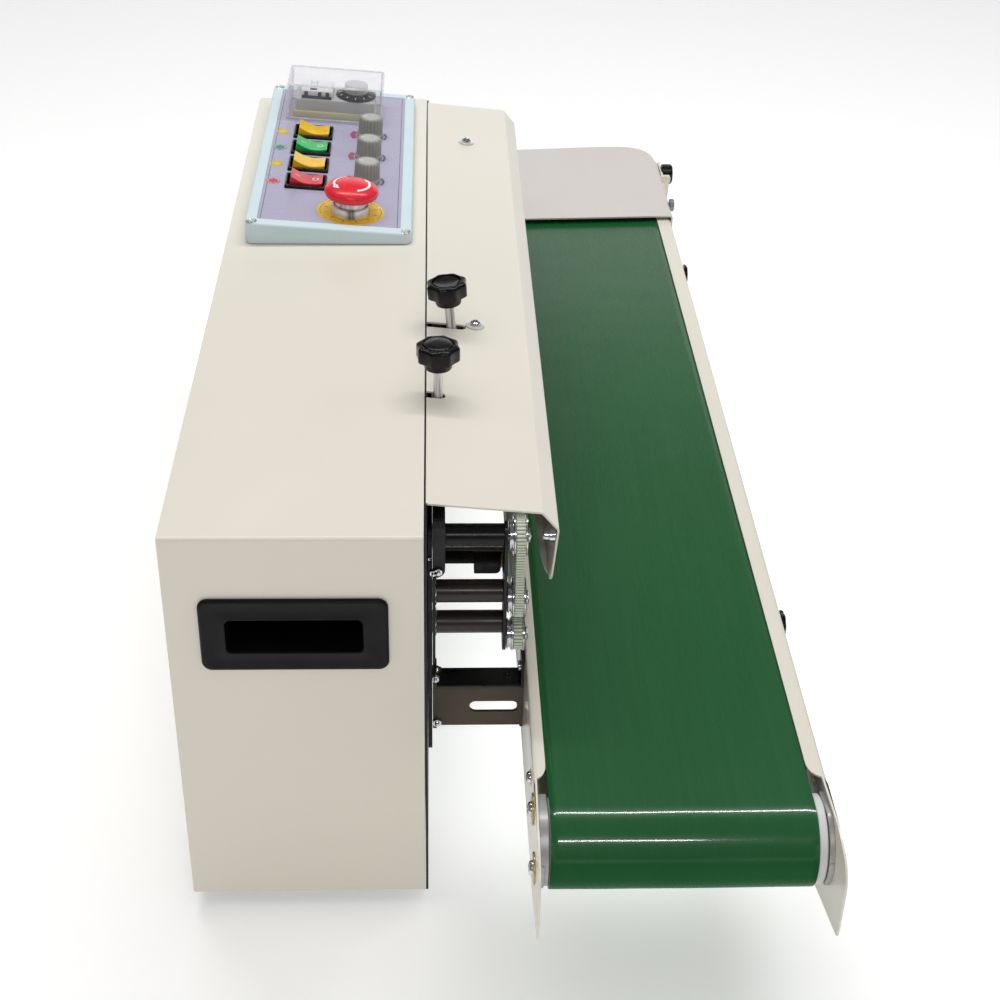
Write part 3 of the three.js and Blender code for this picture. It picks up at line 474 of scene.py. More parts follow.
class Part:
    """Gathers closed bodies in one bmesh. m is applied to everything added."""

    def __init__(self, m=None):
        self.bm = bmesh.new()
        self.m = m or Matrix.Identity(4)
        self.mi = 0

    def v(self, x, y, z):
        return self.bm.verts.new(self.m @ Vector((x, y, z)))

    def f(self, vs):
        try:
            f = self.bm.faces.new(vs)
            f.material_index = self.mi
            return f
        except ValueError:
            return None

    def loft(self, loops, cap=(True, True), cyclic=True, wrap=False):
        rings = [[self.v(*p) for p in l] for l in loops]
        n = len(rings[0])
        pairs = list(zip(rings[:-1], rings[1:]))
        if wrap:
            pairs.append((rings[-1], rings[0]))
        for a, b in pairs:
            for i in range(n if cyclic else n - 1):
                j = (i + 1) % n
                self.f((a[i], a[j], b[j], b[i]))
        if cap[0] and not wrap:
            self.f(list(reversed(rings[0])))
        if cap[1] and not wrap:
            self.f(rings[-1])
        return rings

    def prism(self, pts, a, b, axis="Z", holes=()):
        def at(p, h):
            return {"Z": (p[0], p[1], h), "Y": (p[0], h, p[1]), "X": (h, p[0], p[1])}[axis]
        outer = list(pts)
        if not holes:
            self.loft([[at(p, a) for p in outer], [at(p, b) for p in outer]])
            return
        loops = [outer] + [list(h) for h in holes]
        lo = [[self.v(*at(p, a)) for p in l] for l in loops]
        hi = [[self.v(*at(p, b)) for p in l] for l in loops]
        for l0, l1 in zip(lo, hi):
            n = len(l0)
            for i in range(n):
                j = (i + 1) % n
                self.f((l0[i], l0[j], l1[j], l1[i]))
        flat = [p for l in loops for p in l]
        tri = tessellate_polygon([[Vector((p[0], p[1], 0)) for p in l] for l in loops])
        vlo = [v for l in lo for v in l]
        vhi = [v for l in hi for v in l]
        for t in tri:
            self.f([vlo[i] for i in t])
            self.f([vhi[i] for i in t])

    def box(self, x0, x1, y0, y1, z0, z1):
        self.prism([(x0, y0), (x1, y0), (x1, y1), (x0, y1)], z0, z1)

    def lathe(self, prof, at=(0, 0, 0), axis="Y", seg=48, lobes=None):
        """Profile of (radius, height) pairs; a radius of 0 at either end closes on the axis, otherwise the ring closes on itself."""
        x0, y0, z0 = at
        def place(r, h, a):
            c, s = r * math.cos(a), r * math.sin(a)
            if axis == "Y":
                return (x0 + c, y0 + h, z0 + s)
            if axis == "X":
                return (x0 + h, y0 + c, z0 + s)
            return (x0 + c, y0 + s, z0 + h)
        open_ends = prof[0][0] > 1e-6 or prof[-1][0] > 1e-6
        rings = []
        for r, h in prof:
            if r < 1e-6:
                rings.append([self.v(*place(0, h, 0))])
            else:
                k = [(lobes(2 * math.pi * i / seg, r, h) if lobes else 1.0) for i in range(seg)]
                rings.append([self.v(*place(r * k[i], h, 2 * math.pi * i / seg)) for i in range(seg)])
        pairs = list(zip(rings[:-1], rings[1:]))
        if open_ends:
            pairs.append((rings[-1], rings[0]))
        for a, b in pairs:
            if len(a) == 1 and len(b) == 1:
                continue
            for i in range(seg):
                j = (i + 1) % seg
                if len(a) == 1:
                    self.f((a[0], b[j], b[i]))
                elif len(b) == 1:
                    self.f((a[i], a[j], b[0]))
                else:
                    self.f((a[i], a[j], b[j], b[i]))

    def tube(self, path, r, seg=12, closed=False):
        """Round section along a list of points."""
        pts = [Vector(p) for p in path]
        n = len(pts)
        up = Vector((0, 0, 1))
        rings = []
        prev = None
        for i, p in enumerate(pts):
            t = (pts[(i + 1) % n] - pts[i - 1]) if closed or 0 < i < n - 1 else (pts[1] - pts[0] if i == 0 else pts[-1] - pts[-2])
            t.normalize()
            if prev is None:
                side = t.cross(up if abs(t.z) < 0.9 else Vector((1, 0, 0))).normalized()
            else:
                side = (prev - t * prev.dot(t)).normalized()
            prev = side
            other = t.cross(side)
            rings.append([tuple(p + (side * math.cos(a) + other * math.sin(a)) * r) for a in (k / seg * math.tau for k in range(seg))])
        self.loft(rings, wrap=closed)

    def sheet(self, outline, profile, place, thick, holes=(), side=1, straight=None):
        """Bent sheet. outline and holes are (a, s) with s the length along the profile; place(a, y, z) gives the point.
        side +1 puts the thickness to the left of the profile's direction, -1 to the right."""
        cum = [0.0]
        for p, q in zip(profile[:-1], profile[1:]):
            cum.append(cum[-1] + math.hypot(q[0] - p[0], q[1] - p[1]))
        b2 = bmesh.new()
        loops = [list(outline)] + [list(h) for h in holes]
        vs = [b2.verts.new((p[0], p[1], 0)) for l in loops for p in l]
        for t in tessellate_polygon([[Vector((p[0], p[1], 0)) for p in l] for l in loops]):
            try:
                b2.faces.new([vs[i] for i in t])
            except ValueError:
                pass
        for c in cum[1:-1]:
            bmesh.ops.bisect_plane(b2, geom=b2.verts[:] + b2.edges[:] + b2.faces[:], plane_co=(0, c, 0), plane_no=(0, 1, 0), dist=1e-4)
        bmesh.ops.remove_doubles(b2, verts=b2.verts[:], dist=1e-4)
        normals = []
        for p, q in zip(profile[:-1], profile[1:]):
            l = math.hypot(q[0] - p[0], q[1] - p[1])
            normals.append((-(q[1] - p[1]) / l * side, (q[0] - p[0]) / l * side))
        def at(a, s, off):
            i = 0
            while i < len(cum) - 2 and s > cum[i + 1] + 1e-6:
                i += 1
            t = (s - cum[i]) / (cum[i + 1] - cum[i])
            p, q = profile[i], profile[i + 1]
            y, z = p[0] + (q[0] - p[0]) * t, p[1] + (q[1] - p[1]) * t
            n0, n1 = normals[i], normals[i]
            k = 1.0
            if abs(s - cum[i]) < 1e-4 and i > 0:
                n1 = normals[i - 1]
            elif abs(s - cum[i + 1]) < 1e-4 and i < len(normals) - 1:
                n1 = normals[i + 1]
            nx, nz = n0[0] + n1[0], n0[1] + n1[1]
            l = math.hypot(nx, nz)
            nx, nz = nx / l, nz / l
            k = 1.0 / max(0.5, nx * n0[0] + nz * n0[1])
            if straight:
                r = straight(a, s, off)
                if r is not None:
                    return r
            return place(a, y + nx * off * k, z + nz * off * k)
        b2.verts.ensure_lookup_table()
        top = [self.v(*at(v.co.x, v.co.y, 0.0)) for v in b2.verts]
        bot = [self.v(*at(v.co.x, v.co.y, thick)) for v in b2.verts]
        b2.verts.index_update()
        for f in b2.faces:
            ids = [v.index for v in f.verts]
            self.f([top[i] for i in ids])
            self.f([bot[i] for i in reversed(ids)])
        for e in b2.edges:
            if len(e.link_faces) == 1:
                i, j = e.verts[0].index, e.verts[1].index
                self.f([top[i], top[j], bot[j], bot[i]])
        b2.free()


def arc(cx, cy, r, a0, a1, n=5):
    return [(cx + r * math.cos(math.radians(a0 + (a1 - a0) * i / n)), cy + r * math.sin(math.radians(a0 + (a1 - a0) * i / n))) for i in range(n + 1)]


def fillet(points, radii, n=5):
    """Polyline with its inner corners rounded. radii has one entry for each inner corner."""
    out = [tuple(points[0])]
    for i in range(1, len(points) - 1):
        a, b, c = (Vector((*p, 0)) for p in (points[i - 1], points[i], points[i + 1]))
        u, w = (a - b).normalized(), (c - b).normalized()
        ang = u.angle(w)
        r = radii[i - 1]
        if r <= 0 or abs(math.pi - ang) < 1e-3:
            out.append((b.x, b.y))
            continue
        d = min(r / math.tan(ang / 2), (a - b).length * 0.49, (c - b).length * 0.49)
        r = d * math.tan(ang / 2)
        p, q = b + u * d, b + w * d
        cen = b + (u + w).normalized() * (r / math.sin(ang / 2))
        a0 = math.atan2(p.y - cen.y, p.x - cen.x)
        a1 = math.atan2(q.y - cen.y, q.x - cen.x)
        while a1 - a0 > math.pi:
            a1 -= math.tau
        while a1 - a0 < -math.pi:
            a1 += math.tau
        out += [(cen.x + r * math.cos(a0 + (a1 - a0) * k / n), cen.y + r * math.sin(a0 + (a1 - a0) * k / n)) for k in range(n + 1)]
    out.append(tuple(points[-1]))
    return out


def done(part, name, mats, body="frame", rep=(), bevel=0.0, seg=2, angle=34, flat=False, weighted=False, slot=None):
    bm = part.bm
    bmesh.ops.remove_doubles(bm, verts=bm.verts[:], dist=2e-4)
    bmesh.ops.dissolve_degenerate(bm, edges=bm.edges[:], dist=1e-4)
    bmesh.ops.recalc_face_normals(bm, faces=bm.faces[:])
    for v in bm.verts:
        v.co = (v.co + OFF) * MM
    me = bpy.data.meshes.new(name)
    lim = math.radians(angle)
    for f in bm.faces:
        f.smooth = not flat
    if not bevel:
        for e in bm.edges:
            if len(e.link_faces) == 2 and e.calc_face_angle(0) > lim:
                e.smooth = False
    bm.to_mesh(me)
    bm.free()
    for m in mats if isinstance(mats, (list, tuple)) else [mats]:
        me.materials.append(M[m])
    o = bpy.data.objects.new(name, me)
    bpy.context.scene.collection.objects.link(o)
    if bevel:
        b = o.modifiers.new("edges", "BEVEL")
        b.width = bevel * MM
        b.segments = seg
        b.limit_method = "ANGLE"
        b.angle_limit = lim
        b.harden_normals = True
        b.use_clamp_overlap = True
    if weighted:
        w = o.modifiers.new("normals", "WEIGHTED_NORMAL")
        w.keep_sharp = True
    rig.ride(o, body)
    if rep:
        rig.replaces(o, *([rep] if isinstance(rep, str) else rep))
    if slot:
        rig.slot(o, slot)
    return o


def hull2(points):
    p = sorted(points)
    cr = lambda o, a, b: (a[0] - o[0]) * (b[1] - o[1]) - (a[1] - o[1]) * (b[0] - o[0])
    def half(lst):
        h = []
        for q in lst:
            while len(h) >= 2 and cr(h[-2], h[-1], q) <= 1e-9:
                h.pop()
            h.append(q)
        h.pop()
        return h
    return half(p) + half(p[::-1])


def belt_path(circles, n=96):
    """Closed line round circles (x, z, r), as arcs joined by straight runs: a list of (x, z) points."""
    pts = hull2([q for x, z, r in circles for q in circle(x, z, r, n)])
    return pts


def resample(pts, step, closed=True):
    """Even points along a closed polyline, with outward normals (counter-clockwise line)."""
    n = len(pts)
    seg = [(Vector(pts[(i + 1) % n]) - Vector(pts[i])).length for i in range(n)]
    total = sum(seg)
    count = max(8, round(total / step))
    out = []
    i, acc = 0, 0.0
    for k in range(count):
        d = total * k / count
        while acc + seg[i] < d - 1e-9:
            acc += seg[i]
            i += 1
        t = (d - acc) / seg[i]
        a, b = Vector(pts[i]), Vector(pts[(i + 1) % n])
        p = a.lerp(b, t)
        out.append(p)
    res = []
    m = len(out)
    for k in range(m):
        t = (out[(k + 1) % m] - out[k - 1]).normalized()
        res.append((out[k].x, out[k].y, t.y, -t.x))
    return res, total / count


# ------------------------------------------------------------------ housing
R_FOLD = 2.2
H_TOP, H_LEN, H_DEP = 276.5, 700.0, 149.3
prof = fillet([(0, 0), (0, H_TOP), (H_LEN, H_TOP), (H_LEN, 0)], [R_FOLD, R_FOLD], 6)


def prof_len(p):
    return sum(math.hypot(b[0] - a[0], b[1] - a[1]) for a, b in zip(p[:-1], p[1:]))


LEN_H = prof_len(prof)
shell = Part()
hole = lambda s0, s1: [(25.2, s0), (125.0, s0), (125.0, s1), (25.2, s1)]
shell.sheet([(0, 0), (H_DEP, 0), (H_DEP, LEN_H), (0, LEN_H)], prof, lambda a, x, z: (x, a, z), 1.5,
            holes=[hole(188.7, 230.8), hole(LEN_H - 230.8, LEN_H - 188.7)], side=-1)
done(shell, "housing_shell", "paint", rep=["top_cover", "left_end_panel", "right_end_panel"], bevel=0.35, seg=2, slot="beige_paint")

# rear cover: flat sheet with pressed louvres over the vents, screws round the edge
rear = Part()
vent_holes = [rounded(x0, x0 + 100, 150 + i * 16, 155 + i * 16, 2.4, 4) for x0 in (90, 520) for i in range(4)]
inlet = rounded(640, 668, 30, 50, 2, 3)
rear.prism([(1.8, 0), (698.2, 0), (698.2, 274.7), (1.8, 274.7)], 147.8, 149.1, "Y", holes=vent_holes + [inlet])
done(rear, "rear_cover_sheet", "paint", rep="rear_cover", bevel=0.3, seg=1, slot="beige_paint")


def pan_head(p, at, r, h, axis, cross=True, seg=28):
    """Pan head with a cross recess. axis is the direction the head points to: 'Z', '-Y', '+Y', '-X'."""
    mats = {"Z": Matrix.Identity(4), "+Y": Matrix.Rotation(math.radians(-90), 4, "X"), "-Y": Matrix.Rotation(math.radians(90), 4, "X"),
            "-X": Matrix.Rotation(math.radians(-90), 4, "Y"), "+X": Matrix.Rotation(math.radians(90), 4, "Y")}
    keep = p.m
    p.m = keep @ Matrix.Translation(Vector(at)) @ mats[axis]
    w = r * 0.16
    prof_ = [(0, 0), (r, 0), (r, h * 0.35), (r * 0.86, h * 0.78), (r * 0.6, h * 0.96), (r * 0.45, h)]
    if cross:
        p.lathe(prof_ + [(r * 0.34, h * 0.7), (r * 0.12, h * 0.45), (0, h * 0.45)], axis="Z", seg=seg,
                lobes=lambda a, rr, hh: (1.0 if rr > r * 0.4 or rr < r * 0.05 else (1.35 if abs(math.cos(2 * a)) > 0.8 else 0.55)))
    else:
        p.lathe(prof_ + [(0, h)], axis="Z", seg=seg)
    p.m = keep


def hexagon(p, at, af, h, axis, dome=True):
    mats = {"Z": Matrix.Identity(4), "+Y": Matrix.Rotation(math.radians(-90), 4, "X"), "-Y": Matrix.Rotation(math.radians(90), 4, "X"),
            "-X": Matrix.Rotation(math.radians(-90), 4, "Y"), "+X": Matrix.Rotation(math.radians(90), 4, "Y")}
    keep = p.m
    p.m = keep @ Matrix.Translation(Vector(at)) @ mats[axis]
    r = af / 2 / math.cos(math.pi / 6)
    hexf = lambda a: math.cos(math.pi / 6) / math.cos((a % (math.pi / 3)) - math.pi / 6)
    lob = lambda a, rr, hh: (hexf(a) if rr > r * 0.93 else (min(1.0, hexf(a) / 0.93)))
    p.lathe([(0, 0), (r, 0), (r, h * 0.8), (r * 0.9, h), (r * 0.5, h), (0, h)], axis="Z", seg=36, lobes=lob)
    if dome:
        p.lathe([(0, h), (r * 0.46, h), (r * 0.46, h * 1.5), (r * 0.36, h * 1.75), (0, h * 1.85)], axis="Z", seg=20)
    p.m = keep


rs = Part()
for x in (16, 180, 350, 520, 684):
    pan_head(rs, (x, 147.5, 262), 3.4, 1.75, "+Y")
    pan_head(rs, (x, 147.5, 14), 3.4, 1.75, "+Y")
done(rs, "rear_cover_screws", "zinc")

# louvre hoods, pressed out of the rear cover inwards so that the back stays flat
lv = Part()
for x0 in (90, 520):
    for i in range(4):
        z = 150 + i * 16
        lv.sheet([(x0, 0), (x0 + 100, 0), (x0 + 100, 9.5), (x0, 9.5)], fillet([(147.6, z + 5.6), (143.0, z + 3.2), (141.2, z - 3.4)], [3], 4),
                 lambda a, y, zz: (a, y, zz), 0.9, side=1)
done(lv, "rear_louvre_hoods", "paint", bevel=0.15, seg=1)

# mains inlet socket in the rear cover
pin = Part()
pin.prism(rounded(636.5, 671.5, 26.5, 53.5, 2.2, 5), 147.0, 149.25, "Y", holes=[rounded(642.5, 665.5, 32.5, 47.5, 2, 4)])
pin.loft([[(x, y, z) for x, z in rounded(642.0 + k, 666.0 - k, 32.0 + k, 48.0 - k, 2, 4)] for y, k in ((148.6, 0.2), (130, 0.2))][::1] +
         [[(x, y, z) for x, z in rounded(642.0 - k, 666.0 + k, 32.0 - k, 48.0 + k, 2, 4)] for y, k in ((128.5, 1.2), (148.2, 1.2))], cap=(False, False), wrap=True)
pin.prism(rounded(641.5, 666.5, 31.5, 48.5, 2, 4), 129.2, 130.6, "Y")
done(pin, "mains_inlet", "black_plastic", bevel=0.3, seg=2)
pins = Part()
for x, z in ((648, 38.5), (660, 38.5), (654, 42.5)):
    pins.box(x - 1, x + 1, 130, 144, z - 2, z + 2)
done(pins, "mains_inlet_pins", "turned", bevel=0.3)

# ------------------------------------------------------------------ carrying handles
HY0, HY1, HZ0, HZ1 = 20.5, 129.7, 184.5, 235.0


def handle(name, rep, m):
    p = Part(m)

    def ring(y0, y1, z0, z1, r, x, n=9):
        return [(x, y, z) for y, z in rounded(y0, y1, z0, z1, r, n)]
    mouth = (34.5, 115.5, 196.5, 221.5)
    loops = []
    # outside of the bezel, from the panel out to its face
    for x, k, r in ((-0.3, 0.0, 6.0), (-1.6, 0.0, 6.0), (-2.3, 0.35, 5.7), (-2.72, 1.1, 5.2), (-2.8, 2.0, 4.6)):
        loops.append(ring(HY0 + k, HY1 - k, HZ0 + k, HZ1 - k, r, x))
    # shallow dish of the face down to the rolled edge of the mouth
    for x, k, r in ((-2.55, 3.4, 4.4), (-2.2, 7.0, 4.2)):
        loops.append(ring(HY0 + k, HY1 - k, HZ0 + k * 0.9, HZ1 - k * 0.9, r, x))
    y0, y1, z0, z1 = mouth
    for x, k, r in ((-2.15, 0.9, 4.4), (-2.5, 0.2, 3.8), (-2.35, -0.5, 3.4), (-1.7, -0.95, 3.2), (0.8, -1.3, 3.0), (6, -1.8, 3.0)):
        loops.append(ring(y0 - k, y1 + k, z0 - k, z1 + k, r, x))
    # the cup inside, higher than the mouth so that fingers hook behind the lip
    for x, dz, r in ((6.4, 2.5, 3.0), (9.0, 5.0, 3.5), (30.0, 5.0, 5.0), (34.0, 2.0, 5.0), (35.4, -2.0, 4.0)):
        loops.append([(x, y, z) for y, z in rounded(y0 + 1.8, y1 - 1.8, z0 + 1.9, z1 - 1.9 + dz, min(r, 4.5), 9)])
    # back of the cup, and its outside home to the panel
    loops.append([(37.6, y, z) for y, z in rounded(y0 + 1.0, y1 - 1.0, z0 + 1.0, z1 + 3.0, 4, 9)])
    loops.append([(33.0, y, z) for y, z in rounded(27.0, 123.2, 190.4, 229.2, 5, 9)])
    loops.append([(0.4, y, z) for y, z in rounded(27.0, 123.2, 190.4, 229.2, 5, 9)])
    # order: inside wall first (face to cup floor) is one run, the floor closes between the last inner and first outer loop
    inner, outer = loops[:-3], loops[-3:]
    p.loft(inner, cap=(False, True))
    p.loft([inner[0], outer[2], outer[1], outer[0]], cap=(False, True))
    return done(p, name, "black_plastic", rep=rep, angle=40, slot="black_plastic")


handle("handle_left_moulding", "left_handle", Matrix.Identity(4))
handle("handle_right_moulding", "right_handle", Matrix.Translation(Vector((H_LEN, 150.2, 0))) @ Matrix.Rotation(math.pi, 4, "Z"))

# ------------------------------------------------------------------ feet
for name, x, y in (("foot_front_left", 45, 14.5), ("foot_front_right", 655, 14.5), ("foot_rear_left", 45, 130), ("foot_rear_right", 655, 130)):
    p = Part()
    p.lathe([(0, -9.5), (4.5, -9.5), (5.2, -13.2), (6.4, -14), (11.2, -14), (12.2, -13.2), (13.0, -9), (13.4, -4), (13.9, -3.4), (14, -1.2),
             (13.6, 0.15), (0, 0.15)], (x, y, 0), "Z", 40)
    done(p, name + "_rubber", "rubber", rep=name, angle=30)
    s = Part()
    pan_head(s, (x, y, -9.4), 3.8, 0.1, "Z", cross=False)
    s.lathe([(0, -11.4), (2.0, -11.4), (2.2, -10.8), (3.9, -10.6), (4.2, -9.3), (0, -9.3)], (x, y, 0), "Z", 24)
    done(s, name + "_screw", "zinc")

# ------------------------------------------------------------------ black panel, head plate and inlet bearing block
p = Part()
p.prism([(0.4, 0), (699.6, 0), (699.6, 274.7), (0.4, 274.7)], -1.8, -0.3, "Y", holes=[circle(600, 219.5, 8, 40), circle(600, 170.1, 8, 40)])
done(p, "front_panel_sheet", "black_paint", rep="front_panel", bevel=0.25, seg=1)

HP1, HP0, HEAD = -2.1, -4.6, -4.9
p = Part()
p.prism(rounded(28, 690, 94, 262, 5, 6), HP0, HP1, "Y", holes=[circle(600, 219.5, 8, 40), circle(600, 170.1, 8, 40)])
done(p, "head_plate_sheet", "black_paint", rep="head_plate", bevel=0.35, seg=2)
p = Part()
p.prism(rounded(596, 610, -41, HP0 + 0.1, 2, 4), 255, 261.5)
p.lathe([(0, 261.4), (4, 261.4), (4, 270.6), (3.6, 271.0), (0, 271.0)], (603, -33.9, 0), "Z", 28)
done(p, "guard_post_far", "black_paint", bevel=0.4)

GX, GA, GB, GC = 35.0, 254.5, 209.4, 182.2
p = Part()
p.prism(fillet([(22, 170), (48, 170), (48, 240), (22, 240), (22, 170)], [2, 2, 2], 4)[:-1], HEAD - 1.7, HEAD, "Y")
p.prism([(HEAD, 268), (HEAD, 233), (-6.4, 233)] + arc(-6.3, 239, 6, -90, -180, 7) + [(-12.3, 268)], 22, 230, "X")
p.prism(rounded(25, 45, 173, 262, 8, 6), -49.0, -47.0, "Y")
done(p, "inlet_block_bar", "black_paint", rep="inlet_bearing_block", bevel=0.9, seg=3)
p = Part()
p.prism(rounded(226, 278, -41, HEAD, 3, 5), 249, 261.5)
p.lathe([(0, 261.4), (4, 261.4), (4, 270.5), (3.6, 270.8), (0, 270.8)], (264, -34.4, 0), "Z", 28)
done(p, "inlet_block_lug", "black_paint", bevel=0.6)
# bearing tubes: the upper one is painted, the other two are bare dark turned steel
tube_prof = lambda r: [(4.6, -47.1), (r - 0.5, -47.1), (r, -46.7), (r, HEAD - 1.2), (r + 0.0, HEAD + 0.2), (4.6, HEAD + 0.2)]
for nm, z, mt in (("top", GA, "black_gloss"), ("middle", 214.3, "brown_black"), ("lower", 191.4, "brown_black")):
    p = Part()
    p.lathe(tube_prof(7.0), (GX, 0, z), "Y", 64)
    done(p, "bearing_tube_" + nm, mt, angle=30)
    p = Part()
    p.lathe([(7.05, -7.2), (8.2, -7.2), (8.6, -6.9), (8.9, -6.2), (8.9, -5.1), (7.05, -5.1)], (GX, 0, z), "Y", 56)
    done(p, "tube_collar_" + nm, "chrome", angle=30)

# nuts and bolts on the black bar and the plate at the inlet end
p = Part()
hexagon(p, (22, -8.4, 238.2), 4.4, 2.0, "-X")
hexagon(p, (22.4, -5.3, 237.5), 4.0, 2.4, "-X")
hexagon(p, (28, -3.4, 243), 2.2, 1.2, "-X")
hexagon(p, (90, HP0, 108), 7.5, 3.0, "-Y")
hexagon(p, (110, -12.3, 242), 7.0, 3.0, "-Y")
hexagon(p, (205, -12.3, 242), 7.0, 3.0, "-Y")
done(p, "head_bolts", "chrome", angle=25)

# small thread guide bracket behind the upper tube: brown strip, end bent down, black block with a brass edge
p = Part()
p.sheet([(54, 0), (61, 0), (61, 52), (54, 52)], fillet([(-12.4, 231.4), (-48.0, 230.6), (-48.4, 216)], [1.4], 5), lambda a, y, z: (a, y, z), 1.2, side=1)
done(p, "feed_bracket", "bracket", bevel=0.25, seg=2)
p = Part()
blk = [(-30.0, 229.2), (-46.2, 229.2)] + [(-46.2 + 3.0 * (1 - math.cos(math.radians(a))), 215.2 - 3.0 * math.sin(math.radians(a))) for a in (0, 30, 60, 90)] + [(-30.0, 212.2)]
p.prism(blk, 55, 65, "X")
p.prism([(-12.5, 229.6), (-30.2, 229.6), (-30.2, 219.2), (-12.5, 219.2)], 55.6, 64.4, "X")
done(p, "feed_block", "black_gloss", bevel=0.5)
p = Part()
p.prism([(-46.3, 228.8), (-47.4, 228.8), (-47.4, 217.2), (-46.3, 215.6)], 55.5, 64.5, "X")
done(p, "feed_block_brass_face", "brass", bevel=0.25)

# ------------------------------------------------------------------ guide pulleys


def guide_pulley(name, r, groove, z):
    p = Part()
    p.lathe([(0, -62.4), (3.6, -62.4), (4.4, -61.8), (4.4, -60.6), (r - 0.9, -60.6), (r, -60.2), (r, -59.6), (r - 0.5, -59.3), (groove, -59.3), (groove, -53.4),
             (r - 0.5, -53.4), (r, -53.1), (r, -52.5), (r - 0.8, -52.1), (9.4, -52.1), (9.4, -51.7), (8.4, -51.4), (8.4, -50.8), (9.4, -50.5), (9.4, -49.9),
             (8.6, -49.4), (4, -49.4), (4, -47.4), (0, -47.4)], (GX, 0, z), "Y", 72)
    # three small screws on the face, so that its turn shows
    done(p, name + "_turned", "chrome", body=name, rep=name, angle=26, slot="bright_steel")
    q = Part()
    for k in range(3):
        a = k * math.tau / 3 + 0.4
        q.lathe([(0, 0), (1.1, 0), (1.1, 0.7), (0.5, 0.85), (0, 0.5)], (GX + 6.6 * math.cos(a), -60.6, z + 6.6 * math.sin(a)), "Y", 14)
    for v in q.bm.verts:
        v.co.y = -60.6 - (v.co.y + 60.6)
    done(q, name + "_screws", "turned", body=name)


guide_pulley("guide_pulley_top", 12.5, 9.5, GA)
guide_pulley("guide_pulley_middle", 12.5, 9.5, GB)
guide_pulley("guide_pulley_lower", 10.5, 7.5, GC)


# ------------------------------------------------------------------ drive and idler wheels
def seal_wheel(name, prof_, x, z, spokes):
    p = Part()
    p.lathe(prof_, (x, 0, z), "Y", 80)
    done(p, name + "_turned", "alu", body=name, rep=name, angle=26, slot="aluminium")
    q = Part()
    for k in range(spokes):
        a = k * math.tau / spokes
        q.lathe([(0, -28.35), (1.9, -28.35), (2.1, -28.1), (2.1, -27.6), (0, -27.6)], (x + 14.5 * math.cos(a), 0, z + 14.5 * math.sin(a)), "Y", 18)
    done(q, name + "_balance_plugs", "turned", body=name)


rim = lambda: [(22.0, -28), (23.3, -27.4), (23.3, -11.6), (22.7, -11)]
face = lambda: [(19.5, -28), (19.0, -26.4), (10.0, -26.4), (9.4, -28)]
seal_wheel("upper_drive_wheel", [(0, -63), (5, -63), (5, -60.8), (23.6, -60.8), (24.3, -60.4), (24.3, -59.7), (21.9, -59.4), (21.7, -53.3), (24.3, -53.0),
           (24.3, -52.3), (9, -52), (9, -49), (6, -49), (6, -28), (9.4, -28)] + face()[::-1] + rim() + [(6, -11), (6, 37.5), (5.5, 38), (0, 38)], 600, 219.5, 6)
seal_wheel("lower_drive_wheel", [(0, -59.2), (21.3, -59.2), (21.7, -58.9), (21.7, -53.3), (24.3, -53.0), (24.3, -52.3), (9, -52), (9, -49), (6, -49),
           (6, -28), (9.4, -28)] + face()[::-1] + rim() + [(6, -11), (6, 37.5), (5.5, 38), (0, 38)], 600, 170.1, 6)
seal_wheel("upper_idler_wheel", [(0, -31), (6.4, -31), (7, -30.4), (7, -28), (9.4, -28)] + face()[::-1] + rim() + [(5, -11), (5, HEAD - 0.1), (0, HEAD - 0.1)], 262, 219.5, 5)
seal_wheel("lower_idler_wheel", [(0, -31), (6.4, -31), (7, -30.4), (7, -28), (9.4, -28)] + face()[::-1] + rim() + [(5, -11), (5, HEAD - 0.1), (0, HEAD - 0.1)], 262, 170.1, 5)


def sprocket(name, x, z, r_tip, r_root, teeth, y0, y1, body, bore=6.0):
    pts = []
    for i in range(teeth):
        for f, r in ((0.0, r_root), (0.18, r_root), (0.36, r_tip), (0.5, r_tip), (0.68, r_root)):
            a = (i + f) / teeth * math.tau
            pts.append((x + r * math.cos(a), z + r * math.sin(a)))
    p = Part()
    p.prism(pts, y0, y1, "Y", holes=[circle(x, z, bore - 0.1, 24)])
    done(p, name, "chain", body=body, bevel=0.2, seg=1)


sprocket("lower_drive_sprocket", 600, 170.1, 20.6, 17.8, 18, -37.3, -34.7, "lower_drive_wheel")
sprocket("drive_roller_sprocket", 868, 120, 21.4, 18.6, 19, -37.3, -34.7, "drive_roller")


# ------------------------------------------------------------------ loops: seal bands, guide belts, chain
def band(name, rep, circles, t, y0, y1, mats, body="frame", n=120, edge=0.15):
    """Smooth closed band: rounded edges, no ends."""
    inner = belt_path(circles, n)
    outer = belt_path([(x, z, r + t) for x, z, r in circles], n)
    e = edge
    p = Part()
    def ring(circ, y):
        return [(x, y, z) for x, z in belt_path(circ, n)]
    g = lambda k: [(x, z, r + k) for x, z, r in circles]
    loops = [ring(g(0), y0 + e), ring(g(e), y0), ring(g(t - e), y0), ring(g(t), y0 + e), ring(g(t), y1 - e), ring(g(t - e), y1), ring(g(e), y1), ring(g(0), y1 - e)]
    p.loft(loops, wrap=True)
    done(p, name, mats, body=body, rep=rep, angle=50)


for nm, z in (("upper", 219.5), ("lower", 170.1)):
    band(nm + "_seal_band_loop", nm + "_seal_band", [(262, z, 23.6), (600, z, 23.6)], 0.7, -27, -12, "band")


